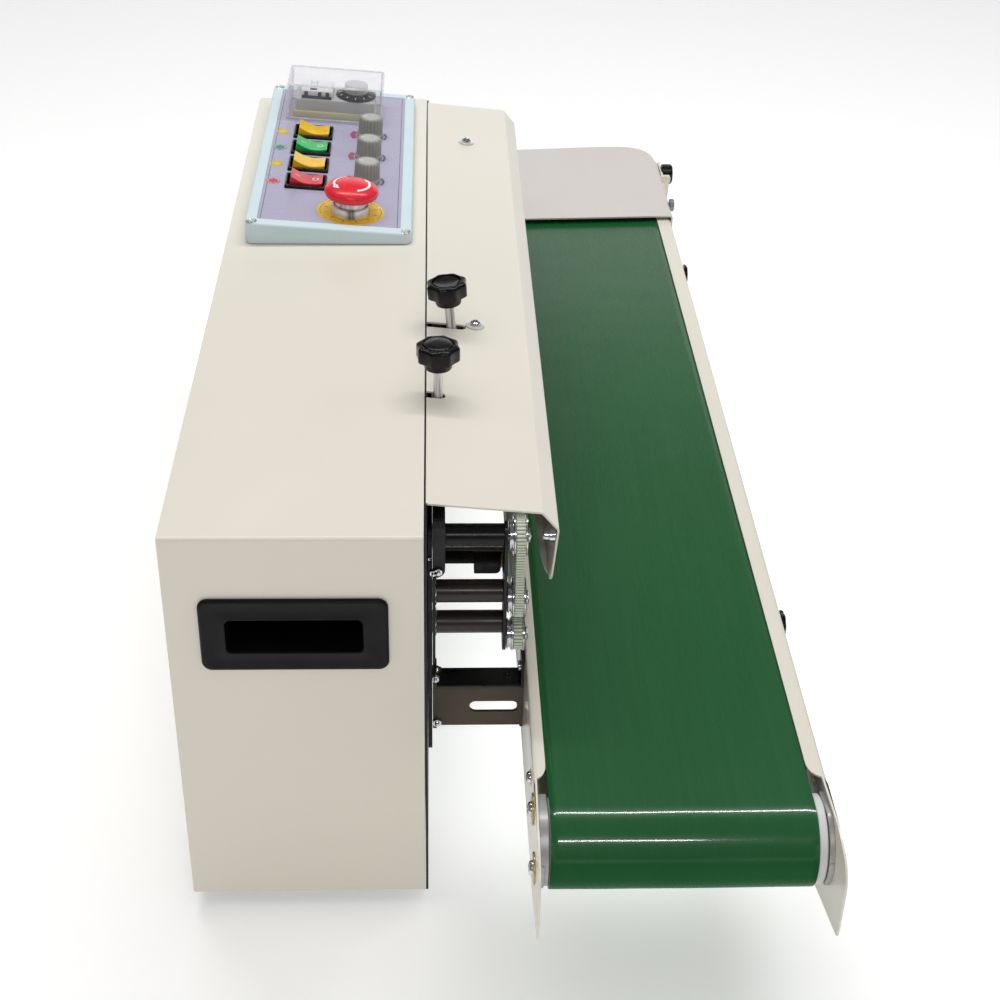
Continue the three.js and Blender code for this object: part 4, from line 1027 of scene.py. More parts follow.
def toothed(name, rep, circles, t, y0, y1, pitch):
    """Guide belt: smooth body with a rib across its outside at every pitch, and painted shade on the groove floors
    between the ribs.
    """
    pts, step = resample(belt_path(circles, 240), pitch / 5)
    m = len(pts) - len(pts) % 5
    pts, step = resample(belt_path(circles, 240), prof_len(belt_path(circles, 240) + belt_path(circles, 240)[:1]) / m)
    base = t - 0.6
    h = [base, base, t, t, base]
    p = Part()
    def ring(y, inside, cutin):
        out = []
        for k, (x, z, nx, nz) in enumerate(pts):
            d = cutin if inside else h[k % 5] - cutin
            out.append((x + nx * d, y, z + nz * d))
        return out
    e = 0.25
    p.loft([ring(y0 + e, True, 0.0), ring(y0, True, e), ring(y0, False, e), ring(y0 + e, False, 0.0), ring((y0 + y1) / 2 - 0.25, False, 0.0),
            ring((y0 + y1) / 2, False, 0.12), ring((y0 + y1) / 2 + 0.25, False, 0.0),
            ring(y1 - e, False, 0.0), ring(y1, False, e), ring(y1, True, e), ring(y1 - e, True, 0.0)], wrap=True)
    # painted shade: the groove floors between the ribs take the darker groove colour
    for k, f in enumerate(p.bm.faces):
        if k % len(pts) % 5 in (0, 4):
            f.material_index = 1
    done(p, name, ["white_belt", "belt_groove"], rep=rep, angle=28)


toothed("upper_guide_belt_ribbed", "upper_guide_belt", [(GX, GA, 9.8), (GX, GB, 9.8), (600, 219.5, 22.0)], 2.2, -59.0, -53.7, 1.9)
toothed("lower_guide_belt_ribbed", "lower_guide_belt", [(GX, GC, 7.8), (600, 170.1, 22.0)], 2.2, -59.0, -53.7, 1.9)


def roller_chain(name, rep, circles, y0, y1):
    path = belt_path([(x, z, r + 1.5) for x, z, r in circles], 240)
    total = prof_len(path + path[:1])
    count = 2 * round(total / 6.35 / 2)
    pts, step = resample(path, total / count)
    p = Part()
    n = len(pts)
    for k in range(n):
        x0, z0 = pts[k][0], pts[k][1]
        x1, z1 = pts[(k + 1) % n][0], pts[(k + 1) % n][1]
        t = Vector((x1 - x0, z1 - z0)).normalized()
        w = Vector((-t.y, t.x))
        r = 1.42
        out = []
        for cx, cz, a0 in ((x0, z0, 90), (x1, z1, -90)):
            for i in range(5):
                a = math.radians(a0 + 45 * i)
                out.append((cx + (t.x * math.cos(a) + w.x * math.sin(a)) * r, cz + (t.y * math.cos(a) + w.y * math.sin(a)) * r))
        off = 0.0 if k % 2 else 0.75
        for ya, yb in ((y0 + 0.3 + off, y0 + 0.95 + off), (y1 - 0.95 - off, y1 - 0.3 - off)):
            p.prism(out, ya, yb, "Y")
        p.lathe([(0, y0 + 0.05), (0.75, y0 + 0.05), (0.75, y0 + 1.75), (1.3, y0 + 1.75), (1.3, y1 - 1.75), (0.75, y1 - 1.75), (0.75, y1 - 0.05), (0, y1 - 0.05)], (x0, 0, z0), "Y", 8)
    done(p, name, "chain", rep=rep, angle=35)


roller_chain("drive_chain_links", "drive_chain", [(600, 170.1, 19.5), (868, 120, 20.3)], -38.4, -33.6)

# heater blocks with their clamp screws; cooling blocks keep their fins
for nm, z0, z1 in (("upper", 196.3, 226), ("lower", 163.6, 193.3)):
    p = Part()
    p.prism(rounded(300, 398, z0, z1, 1.6, 4), -29.5, HEAD, "Y")
    done(p, nm + "_heating_block_body", "heater", rep=nm + "_heating_block", bevel=0.5)
    s = Part()
    for x in (309, 389):
        for z in (z0 + 7, z1 - 7):
            s.lathe([(0, -31.6), (2.2, -31.6), (2.8, -31.2), (2.8, -29.4), (0, -29.4)], (x, 0, z), "Y", 24)
    done(s, nm + "_heating_block_screws", "turned")
    up = z0 > 180
    n, x0, x1 = 9, 414, 540
    w = (x1 - x0) / (2 * n - 1)
    root, tip, face_z = (z0 + 12, z1, z0) if up else (z1 - 12, z0, z1)
    pts = [(x0, face_z)]
    for i in range(n):
        a = x0 + 2 * i * w
        if i:
            pts.append((a, root))
        pts += [(a, tip), (a + w, tip)]
        if i < n - 1:
            pts.append((a + w, root))
    pts.append((x1, face_z))
    p = Part()
    p.prism(pts, -29.5, HEAD, "Y")
    done(p, nm + "_cooling_block_fins", "alu", rep=nm + "_cooling_block", bevel=0.4)

# motor and gearbox inside the housing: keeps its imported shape, with cast metal
for n_, mt in (("drive_gearmotor", "cast"), ("base_plate", "zinc")):
    o = frame["nodes"][n_]
    o.data.materials.clear()
    o.data.materials.append(M[mt])


# ------------------------------------------------------------------ guard cover
g_prof = fillet([(-1.1, 276.0), (-69.2, 269.5), (-79.3, 257.2), (-75.8, 215.8), (-70.4, 215.0)], [4.0, 3.0, 1.8], 6)
G_LEN = prof_len(g_prof)
S_F = G_LEN - 5.4
gs = lambda y: (-1.1 - y) * math.hypot(68.1, 6.5) / 68.1
sa, sb = gs(-24.6), gs(-9.4)
outline = [(37.2, 0.0), (159, 0.0), (159, sb)] + [(163 + 4 * math.cos(math.radians(a)), sb + 4 * math.sin(math.radians(a))) for a in range(162, 0, -18)] + \
    [(167, sb), (167, 0.0), (256.5, 0.0), (256.5, sa)] + \
    [(260 + 3.5 * math.cos(math.radians(a)), sa + 3.5 * math.sin(math.radians(a))) for a in (162, 144, 126, 108, 90, 72)] + \
    [(263.5, gs(-33.2)), (264.5, gs(-32.8))] + \
    [(260 + 3.5 * math.cos(math.radians(a)), sa + 3.5 * math.sin(math.radians(a))) for a in (50, 36, 18)] + \
    [(263.5, sa), (263.5, 0.0), (690, 0.0), (690, G_LEN - 3), (689.2, G_LEN - 0.8), (687, G_LEN)] + \
    [(96, G_LEN), (70, G_LEN - 0.9), (55, G_LEN - 2.6), (47.5, S_F + 0.8), (43.5, S_F - 0.6), (40.6, S_F - 2.2), (38.2, S_F - 4.4), (36.6, S_F - 7), (36, S_F - 10), (36, 1.2)]
p = Part()
p.sheet(outline, g_prof, lambda a, y, z: (a, y, z), 1.2, side=1)
done(p, "guard_cover_sheet", "paint", rep="guard_cover", bevel=0.28, seg=2, slot="beige_paint")

# guard screws with washers, on the slope
tilt_g = Matrix.Rotation(math.atan2(6.4, 66.9), 4, "X")
for nm, x, y in (("near", 264, -34.4), ("far", 603, -33.9)):
    z = 269.5 + (y + 69.2) * 6.4 / 66.9
    p = Part(Matrix.Translation(Vector((x, y, z))) @ tilt_g)
    p.lathe([(1.5, 0.02), (6.6, 0.02), (6.9, 0.3), (6.7, 0.95), (5.6, 1.15), (1.5, 1.15)], axis="Z", seg=48)
    done(p, "guard_washer_" + nm, "bright_zinc", angle=28)
    p = Part(Matrix.Translation(Vector((x, y, z))) @ tilt_g)
    pan_head(p, (0, 0, 1.1), 3.9, 2.6, "Z")
    done(p, "guard_screw_" + nm, "chrome", angle=28)

# bright spacer and its bolt inside the flap
p = Part()
p.lathe([(0, -77.6), (4.4, -77.6), (5.0, -77.0), (5.0, -73.6), (4.0, -73.2), (4.0, -70.6), (3.6, -69.9), (2.4, -69.6), (0, -69.5)], (41.5, 0, 250.0), "Y", 36)
done(p, "flap_spacer", "chrome", angle=28)


# ------------------------------------------------------------------ star knobs on threaded studs
def star_knob(name, m, stud, stud_r, dashes, turn=0.0):
    top = 16.6
    def lob(a):
        return 1 - 2 * (math.sqrt(math.sin(4 * (a - turn)) ** 2 + 0.03) - 0.173) / (math.sqrt(1.03) - 0.173)
    rows = [(0, 0, 0), (7.6, 0, 0), (8.5, 0.25, 0.0), (8.9, 1.0, 0.05), (9.3, 4.6, 0.2), (9.8, 5.8, 0.35), (11.6, 6.1, 0.5), (13.2, 6.5, 0.6), (13.6, 7.2, 0.65),
            (13.6, 14.6, 0.65), (13.4, 15.3, 0.65), (12.8, 16.1, 0.6), (11.8, top, 0.45), (10.3, top + 0.15, 0.1), (10.0, top + 0.05, 0), (9.8, top - 1.5, 0), (9.2, top - 1.6, 0)]
    if dashes:
        rows += [(9.0, top + 0.1, 0), (8.6, top + 0.4, 0), (4.0, top + 0.55, 0), (0, top + 0.6, 0)]
    else:
        rows += [(8.9, top - 0.5, 0), (8.3, top - 0.1, 0), (6.6, top - 0.5, 0), (4.0, top - 0.9, 0), (0, top - 1.0, 0)]
    table_ = {(round(r, 4), round(h, 4)): k for r, h, k in rows}
    p = Part(m)
    p.lathe([(r, h) for r, h, k in rows], axis="Z", seg=192, lobes=lambda a, r, h: 1 + table_[(round(r, 4), round(h, 4))] * lob(a) / r)
    if dashes:
        for k in range(6):      # bridges that break the ring groove into dashes
            keep = p.m
            p.m = m @ Matrix.Rotation(k * math.tau / 6 + 0.35, 4, "Z")
            p.box(8.6, 10.4, -0.9, 0.9, top - 1.6, top + 0.12)
            p.m = keep
    done(p, name + "_head", "black_gloss", body=name, rep=name, angle=40, slot="black_plastic")
    s = Part(m)
    pitch = 1.25
    rows, hh = [(0, -stud)], -stud
    while hh < 0.4:
        rows.append((stud_r, round(hh, 4)))
        hh += pitch / 5
    rows.append((0, 0.45))
    tri = lambda f: abs((f % 1.0) - 0.5) * 2
    s.lathe(rows, axis="Z", seg=28, lobes=lambda a, r, h: 1.0 - 0.06 * tri(h / pitch - a / math.tau) - (0.12 if h < -stud + 0.6 else 0))
    done(s, name + "_stud", "stud", body=name, angle=60)


ta = math.radians(6)
star_knob("pressure_knob_a", Matrix.Translation(Vector((260, -18 + (292 - 274) * math.tan(ta), 292))) @ Matrix.Rotation(-ta, 4, "X"), 44.9, 3.4, False, math.radians(22.5))
star_knob("pressure_knob_b", Matrix.Translation(Vector((163, -8.6, 295.5))), 52.5, 3.1, True, math.radians(30))


# ------------------------------------------------------------------ control box
SLOPE = 9.0 / 125.0
TH = math.atan(SLOPE)
zp = lambda y: 285 + (y - 10) * SLOPE
BOX_T = 125 / math.cos(TH)
PANEL = Matrix.Translation(Vector((0, 10, 285))) @ Matrix.Rotation(TH, 4, "X")


def rr(x0, x1, y0, y1, r, z, n=8):
    return [(x, y, z(y) if callable(z) else z) for x, y in rounded(x0, x1, y0, y1, r, n)]


def outer(k, z):
    return rr(387 + k, 685 - k, 10 + k, 135 - k, 7 - min(k, 5), z)


def inner(k, z):
    return rr(397 + k, 675 - k, 19 + k, 126 - k, 2.2 if k <= 0 else 1.2, z)


p = Part()
p.loft([outer(0.9, 276.8), outer(0.25, 277.2), outer(0, 278.2), outer(0.35, lambda y: zp(y) - 2.2), outer(0.6, lambda y: zp(y) - 1.2), outer(1.2, lambda y: zp(y) - 0.35), outer(2.1, zp),
        inner(-0.7, zp), inner(-0.2, lambda y: zp(y) - 0.15), inner(0, lambda y: zp(y) - 0.5), inner(0.05, lambda y: zp(y) - 1.05),
        inner(3.0, lambda y: zp(y) - 1.05), inner(3.0, lambda y: zp(y) - 3.0), outer(2.6, lambda y: zp(y) - 3.0), outer(2.6, 276.8)], wrap=True)
done(p, "control_box_rim", "box", rep="control_box", angle=40, slot="pale_plastic")

RX = [471.5, 506.5, 541.5, 576.5]
RT = 84.2
p = Part(PANEL)
sq = lambda x, t, a, b: [(x - a, t - b), (x + a, t - b), (x + a, t + b), (x - a, t + b)]
p.prism(rounded(397.3, 674.7, 9.3, BOX_T - 9.3, 1.8, 4), -1.0, -0.6, "Z", holes=[sq(x, RT, 10.6, 14.7) for x in RX])
done(p, "panel_overlay", "overlay", bevel=0.1, seg=1)

p = Part()
for x, y in ((392.2, 15.6), (392.2, 129.6), (679.8, 15.6), (679.8, 129.6)):
    pan_head(p, (x, y, zp(y) - 0.5), 2.9, 1.5, "Z")
done(p, "control_box_screws", "bright_zinc", angle=28)
p = Part()
for x, y in ((392.2, 15.6), (392.2, 129.6), (679.8, 15.6), (679.8, 129.6)):
    p.lathe([(2.9, -0.1), (4.0, -0.1), (4.1, 0.06), (3.9, 0.18), (2.9, 0.2)], (x, y, zp(y)), "Z", 40)
done(p, "control_box_washers", "turned", angle=28)

# rocker switches: black bezel with its well, and the rocker
for i, x in enumerate(RX):
    p = Part(PANEL @ Matrix.Translation(Vector((x, RT, 0))))
    q = lambda a, b, h, r: [(u, v, h) for u, v in rounded(-a, a, -b, b, r, 4)]
    p.loft([q(11.2, 15.2, -10.6, 1), q(11.2, 15.2, -0.5, 1), q(13.6, 16.1, -0.5, 1.2), q(13.6, 16.1, 0.7, 1.2), q(13.3, 15.8, 1.4, 1.1), q(12.6, 15.4, 1.8, 0.9),
            q(10.9, 14.9, 1.8, 0.6), q(10.45, 14.55, 1.5, 0.5), q(10.3, 14.4, 1.0, 0.5), q(10.3, 14.4, -9.6, 0.5)])
    done(p, f"switch_bezel_{i + 1}", "black_gloss", angle=40)
    colour = ("rk_red", "rk_yellow", "rk_green", "rk_yellow")[i]
    base = PANEL @ Matrix.Translation(Vector((x, RT, 0.5))) @ Matrix.Rotation(math.radians(9), 4, "X")
    p = Part(base)
    top = lambda t: 2.4 + 2.9 * (abs(t) / 12.5) ** 1.7
    prof_ = [(-12.3, -3.4), (-9.5, -5.4), (0, -6.0), (9.5, -5.4), (12.3, -3.4)] + [(12.5 - 25 * k / 20, top(12.5 - 25 * k / 20)) for k in range(21)]
    p.prism(prof_, -9.4, 9.4, "X")
    done(p, f"rocker_{i + 1}_cap", colour, body=f"rocker_{i + 1}", rep=f"rocker_{i + 1}", bevel=0.55, seg=3, angle=30)
    if i in (1, 3):
        continue
    s = Part()
    t0 = -7.0
    s.m = base @ Matrix.Translation(Vector((0, t0, top(t0)))) @ Matrix.Rotation(-math.atan(2.9 * 1.7 * (7 / 12.5) ** 0.7 / 12.5), 4, "X")
    s.lathe([(1.9, -0.2), (2.55, -0.2), (2.55, 0.14), (2.4, 0.2), (2.05, 0.2), (1.9, 0.14)], axis="Z", seg=32)
    t0 = 7.0
    s.m = base @ Matrix.Translation(Vector((0, t0, top(t0)))) @ Matrix.Rotation(math.atan(2.9 * 1.7 * (7 / 12.5) ** 0.7 / 12.5), 4, "X")
    s.prism(rounded(-0.32, 0.32, -2.4, 2.4, 0.3, 3), -0.2, 0.18)
    done(s, f"rocker_{i + 1}_marks", "print_white", body=f"rocker_{i + 1}", angle=40)


def flat_print(name, shapes, mat_, h0=-0.62, h1=-0.5):
    p = Part(PANEL)
    for pts in shapes:
        p.prism(pts, h0, h1)
    done(p, name, mat_)


def arc_shape(cx, cy, r0, r1, a0, a1, n=14):
    pts = [(cx + r1 * math.cos(math.radians(a0 + (a1 - a0) * i / n)), cy + r1 * math.sin(math.radians(a0 + (a1 - a0) * i / n))) for i in range(n + 1)]
    return pts + [(cx + r0 * math.cos(math.radians(a1 - (a1 - a0) * i / n)), cy + r0 * math.sin(math.radians(a1 - (a1 - a0) * i / n))) for i in range(n + 1)]


# printed marks: plain coloured spots beside the rockers, wedge scales round the knobs, a thin border line
for i, (x, c) in enumerate(zip(RX, ("print_red", "print_yellow", "print_green", "print_yellow"))):
    flat_print(f"print_spot_{i + 1}", [circle(x - 0.6, 109.5, 5.4, 40)], c)
    flat_print(f"print_spot_ring_{i + 1}", [arc_shape(x - 0.6, 109.5, 4.1, 4.5, 8, 172, 20), arc_shape(x - 0.6, 109.5, 4.1, 4.5, 188, 352, 20)],
               "print_dark" if c == "print_yellow" else "print_white", -0.6, -0.44)
for i, x in enumerate((484, 533, 580)):
    flat_print(f"print_scale_low_{i + 1}", [arc_shape(x, 37.1, 12.4, 16.6, 60, 120)], "print_wine")
    flat_print(f"print_scale_high_{i + 1}", [arc_shape(x, 37.1, 12.2, 14.2, -120, -60)], "print_dark")
bx = [(399.2, 673.0), (11.2, BOX_T - 11.2)]
flat_print("print_border", [[(bx[0][0], bx[1][0]), (bx[0][1], bx[1][0]), (bx[0][1], bx[1][0] + 0.5), (bx[0][0], bx[1][0] + 0.5)],
                            [(bx[0][0], bx[1][1] - 0.5), (bx[0][1], bx[1][1] - 0.5), (bx[0][1], bx[1][1]), (bx[0][0], bx[1][1])]], "print_dark", -0.62, -0.52)


# knobs for speed, heat and fan
def ribbed_knob(name, x):
    m = PANEL @ Matrix.Translation(Vector((x, 37.1, -0.6)))
    p = Part(m)
    prof_ = [(0, 0.1), (10.6, 0.1), (11, 0.5), (11, 2.0), (10.7, 2.7), (10.25, 3.0), (10.15, 3.6), (9.95, 9), (9.75, 15.0), (9.4, 16.1), (8.7, 16.8), (7.9, 17.15), (7.4, 17.05), (7.2, 16.8), (0, 16.75)]
    depth = lambda h: 0.0 if h < 3.3 or h > 16.3 else (0.085 if h < 15.5 else 0.05)
    p.lathe(prof_, axis="Z", seg=168, lobes=lambda a, r, h: 1 - depth(h) * (0.5 - 0.5 * math.tanh(2.5 * math.cos(21 * a)) / math.tanh(2.5)))
    done(p, name + "_ribbed", "grey_knob", body=name, rep=name, angle=40, slot="grey_plastic")
    q = Part(m)
    q.lathe([(0, 16.7), (7.1, 16.7), (7.1, 16.95), (6.7, 17.1), (3.0, 16.95), (0, 16.9)], axis="Z", seg=60)
    done(q, name + "_cap", "grey_cap", body=name, angle=30)
    s = Part(m)
    s.prism(rounded(-0.4, 0.4, 3.2, 6.9, 0.35, 3), 16.9, 17.17)
    done(s, name + "_pointer", "print_white", body=name)


for n_, x in (("speed_knob", 484), ("heat_knob", 533), ("fan_knob", 580)):
    ribbed_knob(n_, x)

# emergency stop
EX, ET = 421.0, 47.3
m_e = PANEL @ Matrix.Translation(Vector((EX, ET, 0)))
p = Part(m_e)
p.lathe([(12.8, -0.55), (14.5, -0.55), (14.5, 5.6), (14.3, 6.2), (13.8, 6.55), (12.8, 6.6)], axis="Z", seg=96)
done(p, "estop_collar_ring", "collar", rep="estop_collar", angle=26, slot="bright_steel")
head_prof = [(12.2, 12.5), (16.6, 12.5), (18.6, 13.0), (19.8, 14.1), (20.4, 15.6), (20.5, 16.9), (20.2, 18.2), (19.4, 19.6), (18.0, 20.8), (16.0, 21.8), (13.2, 22.7),
             (10.0, 23.35), (6.0, 23.85), (2.5, 24.08), (0, 24.12)]
p = Part(m_e)
p.lathe([(0, 12.0), (12.2, 12.0)] + head_prof, axis="Z", seg=96)
done(p, "estop_button_head", "estop_red", body="estop_button", rep="estop_button", angle=50, slot="red_plastic")
p = Part(m_e)
p.lathe([(0, 4.4), (12.0, 4.4), (12.4, 4.8), (12.4, 10.6), (12.1, 11.2), (12.1, 12.5), (0, 12.5)], axis="Z", seg=80)
done(p, "estop_button_sleeve", "collar", body="estop_button", angle=26)


def head_h(r):
    pr = [q for q in head_prof if q[1] > 17.5][::-1]
    for (r0, h0), (r1, h1) in zip(pr[:-1], pr[1:]):
        if r0 <= r <= r1:
            return h0 + (h1 - h0) * (r - r0) / (r1 - r0)
    return pr[-1][1]


p = Part(m_e)
for a_start in (200, 20):
    loops = []
    for k in range(31):
        f = k / 30
        a = math.radians(a_start + 118 * f)
        w = 0.85 if f < 0.8 else 2.1 * (1 - f) / 0.2 + 0.02
        r = 13.4
        r0, r1 = r - w, r + w
        loops.append([(r0 * math.cos(a), r0 * math.sin(a), head_h(r0) - 0.3), (r1 * math.cos(a), r1 * math.sin(a), head_h(r1) - 0.3),
                      (r1 * math.cos(a), r1 * math.sin(a), head_h(r1) + 0.1), (r0 * math.cos(a), r0 * math.sin(a), head_h(r0) + 0.1)])
    p.loft(loops)
done(p, "estop_button_arrows", "print_white", body="estop_button", angle=60)
p = Part(PANEL @ Matrix.Translation(Vector((EX + 2.0, ET, 0))))
p.lathe([(11.5, -0.6), (25.6, -0.6), (25.6, -0.46), (25.5, -0.42), (11.5, -0.42)], axis="Z", seg=120)
done(p, "estop_label_ring", "label_yellow", angle=40)
flat_print("estop_label_lines", [arc_shape(EX + 2, ET, 23.2, 23.6, a, a + 50, 12) for a in range(0, 360, 60)] +
           [arc_shape(EX + 2, ET, 17.6, 21.0, a - 1.1, a + 1.1, 2) for a in range(15, 360, 30)], "print_dark", -0.5, -0.36)

# ------------------------------------------------------------------ temperature controller, dial and clear cover
p = Part(PANEL)
q = lambda k, h, r=2.0: [(x, t, h) for x, t in rounded(612 + k, 650 - k, 33.5 + k, 104 - k, r, 5)]
p.loft([q(0, -0.55), q(0, 4.2), q(0.5, 4.9), q(1.2, 5.0)])
done(p, "controller_base", "controller_base", rep="temperature_controller", angle=40)
p = Part(PANEL)
q = lambda k, h, r=1.6: [(x, t, h) for x, t in rounded(614.5 + k, 648 - k, 35 + k, 102.5 - k, r, 5)]
p.loft([q(0, 4.9), q(0, 14.0), q(0.35, 14.7), q(1.0, 15.0)])
done(p, "controller_face", "controller_face", angle=40)
p = Part(PANEL)
q = lambda k, h, r=1.2: [(x, t, h) for x, t in rounded(618 + k, 645 - k, 71 + k, 98 - k, r, 5)]
p.loft([q(0, 14.9), q(0, 20.0), q(0.4, 20.8), q(1.0, 21.0)])
done(p, "controller_block", "white_plastic", angle=40)
p = Part(PANEL)
for t in (74.0, 80.5, 92.0):
    p.prism(rounded(617.2, 644.4, t, t + 3.2, 0.6, 3), 15.0, 20.2)
p.prism(rounded(620.5, 642.5, 84.6, 90.4, 0.8, 3), 20.8, 21.25)
p.prism(rounded(615.2, 617.4, 72.0, 97.0, 0.5, 3), 15.0, 17.0)
done(p, "controller_block_slots", "black_plastic", bevel=0.15, seg=1)
p = Part(PANEL)
for k in range(3):      # setting wheels with a fine milled edge
    p.lathe([(0, 622.8 + k * 6.6), (3.6, 622.8 + k * 6.6), (3.9, 623.1 + k * 6.6), (3.9, 627.3 + k * 6.6), (3.6, 627.6 + k * 6.6), (0, 627.6 + k * 6.6)], (0, 87.5, 18.4), "X", 60,
            lobes=lambda a, r, h: 1 + 0.04 * math.cos(20 * a) * (r > 3.7))
done(p, "controller_wheels", "white_plastic", angle=40)
tick = []
for k in range(21):
    a = -50 + 14 * k
    tick.append(arc_shape(630.5, 51.6, 15.6 if k % 5 else 14.9, 16.6, a - 0.8, a + 0.8, 2))
p = Part(PANEL)
p.lathe([(0, 14.9), (2.0, 14.9), (2.0, 15.35), (0, 15.35)], (630.5, 51.6, 0), "Z", 24)
done(p, "controller_spindle", "turned")

m_d = PANEL @ Matrix.Translation(Vector((630.5, 51.6, 15.3)))
p = Part(m_d)
p.lathe([(0, 0.05), (16.2, 0.05), (17, 0.3), (17, 0.9), (16.6, 1.3), (10.6, 3.2), (10.2, 3.4), (0, 3.4)], axis="Z", seg=96)
done(p, "temperature_dial_skirt", "black_gloss", body="temperature_dial", rep="temperature_dial", angle=24)
p = Part(m_d)
p.lathe([(0, 3.3), (9.9, 3.3), (10.1, 3.6), (9.9, 9.2), (9.5, 10.2), (8.8, 10.6), (0, 10.6)], axis="Z", seg=120,
        lobes=lambda a, r, h: 1 - (0.03 * (0.5 - 0.5 * math.cos(24 * a)) if 3.5 < h < 9.8 else 0))
done(p, "temperature_dial_cap", "grey_cap", body="temperature_dial", angle=40)
p = Part(m_d)
for k in range(11):
    a = math.radians(-60 + k * 30)
    keep = p.m
    p.m = m_d @ Matrix.Rotation(a, 4, "Z") @ Matrix.Translation(Vector((13.8, 0, 2.24))) @ Matrix.Rotation(math.atan2(1.9, 6.0), 4, "Y")
    p.prism(rounded(-1.5 if k % 5 == 0 else -0.7, 1.5, -0.28, 0.28, 0.2, 2), -0.3, 0.1)
    p.m = keep
done(p, "temperature_dial_marks", "print_white", body="temperature_dial")

p = Part(PANEL)
cq = lambda k, h, r: [(x, t, h) for x, t in rounded(606 + k, 655 - k, 28.2 + k, 109.2 - k, max(0.5, r - k), 7)]
p.loft([cq(2.6, 28.4, 3.2), cq(1.9, 28.3, 2.9), cq(1.6, 27.8, 2.7), cq(1.6, -0.45, 2.7), cq(0, -0.45, 2.7), cq(0, 27.9, 2.7), cq(0.2, 29.0, 2.7), cq(0.7, 29.7, 2.7), cq(1.6, 30.0, 3.0)])
done(p, "clear_cover_moulding", "clear", body="clear_cover", rep="clear_cover", angle=50, slot="clear_plastic")
p = Part(PANEL)
ring_ = lambda k, h: [(x, t, h) for x, t in rounded(606 + k, 655 - k, 28.2 + k, 109.2 - k, max(0.6, 2.7 - k), 7)]
p.loft([ring_(0.12, 28.3), ring_(0.5, 29.4), ring_(1.3, 29.9), ring_(1.7, 29.2), ring_(1.2, 28.3)], wrap=True)
p.loft([ring_(0.1, -0.4), ring_(0.1, 0.4), ring_(1.5, 0.4), ring_(1.5, -0.4)], wrap=True)
for x, t in ((608.1, 30.3), (652.9, 30.3), (608.1, 107.1), (652.9, 107.1)):
    p.prism(circle(x, t, 0.75, 12), 0.4, 28.4)
done(p, "clear_cover_edges", "clear_edge", body="clear_cover", angle=50)

# ------------------------------------------------------------------ conveyor rails
R_MID = -146.25
RB = 1.8
r_prof = fillet([(-70.2, 147), (-61.5, 147), (-61.5, 70), (-73, 70)], [RB, RB], 5)
cum = [0.0]
for a, b in zip(r_prof[:-1], r_prof[1:]):
    cum.append(cum[-1] + math.hypot(b[0] - a[0], b[1] - a[1]))
S1 = cum[6]                       # start of the web, at z = 147 - RB
S2 = cum[7]                       # end of the web, at z = 70 + RB
S_END = cum[-1]
sz = lambda z: S1 + (147 - RB - z)
rail_outline = [(907, 0.4), (907, S_END - 0.4), (906.6, S_END), (-36, S_END), (-40, S_END - 4), (-40, sz(70.0)), (-50, sz(70)), (-77.6, sz(77.9))] + \
    [(-127 + 1.2, sz(91.3)), (-127.6, sz(92.6)), (-128.3, sz(100)), (-128.3, sz(126)), (-127.4, sz(130.2)), (-125.5, sz(133.5)), (-122.9, sz(136.8)), (-119.5, sz(139.6)),
     (-114.8, sz(142.4)), (-109, sz(144.8)), (-103.2, sz(146.3)), (-97, sz(147)), (-56.02, sz(147)), (-56, S1 - 1.7), (-55.8, 6.9), (-54.5, 4.7), (-53.1, 3.1), (-51.5, 1.9), (-49, 0.8),
     (-46, 0.2), (-42, 0.0), (906.6, 0.0)]


def rail_straight(m, jog, face):
    def f(a, s, off):
        if a < -56.005 or (a < -40.4 and s > S2 - 1e-6):
            k = max(0.0, min(1.0, (-57.0 - a) / 5.0)) if a < -56.005 else 0.0
            return (a, m(face - off + jog * k), 147 - RB - (s - S1))
        return None
    return f


def right_skew(x):
    return max(0.0, min(1.0, (x + 56) / 963))


def left_y(a, y):
    """The rail next to the housing is a little narrower than the outer one."""
    f = max(0.0, min(1.0, (y + 70.2) / 8.7))
    return y - 2.0 * f


def right_y(a, y):
    """The outer rail widens towards its far end."""
    f = max(0.0, min(1.0, (y + 70.2) / 8.7))
    return 2 * R_MID - y + right_skew(a) * (1.6 * (1 - f) - 3.3 * f)


for nm, m, my in (("left_rail", lambda y: y, left_y), ("right_rail", lambda y: 2 * R_MID - y, right_y)):
    p = Part()
    holes_ = [[(868 + 6.9 * math.cos(i / 28 * math.tau), sz(120) + 6.9 * math.sin(i / 28 * math.tau)) for i in range(28)]]
    ol_r = rail_outline
    if nm == "right_rail":
        k0, k1 = rail_outline.index((-128.3, sz(126))), rail_outline.index((-97, sz(147)))
        ol_r = rail_outline[:k0] + [(-128.3, sz(127.6)), (-127.9, sz(130.6)), (-126.8, sz(133.6)), (-124.8, sz(137)), (-122.4, sz(140)), (-119.5, sz(142)),
                                    (-115, sz(143.6)), (-107, sz(145.4))] + rail_outline[k1:]
    ol_r = ol_r[:-1]
    if nm == "right_rail":
        ol_r = [(886, sz(126)), (886, S_END - 0.4), (885.6, S_END)] + ol_r[3:]
    i0 = [i for i, q in enumerate(ol_r) if q == (-56.02, sz(147))][0]
    ol_r = ol_r[:i0] + [(-62.0, sz(147)), (-57.0, sz(147))] + ol_r[i0:] + ([(906.6, 0.0)] if nm == "left_rail" else [(858, 0.0), (862, 4.0), (868, S1), (878, sz(141)), (884, sz(134))])
    p.sheet(ol_r, r_prof, lambda a, y, z, my=my: (a, my(a, y), z), 1.2, side=-1, holes=holes_, straight=rail_straight(m, *((0.8, -63.5) if nm == "left_rail" else (1.3, -61.5))))
    done(p, nm + "_sheet", "paint", rep=nm, bevel=0.3, seg=2, slot="beige_paint")
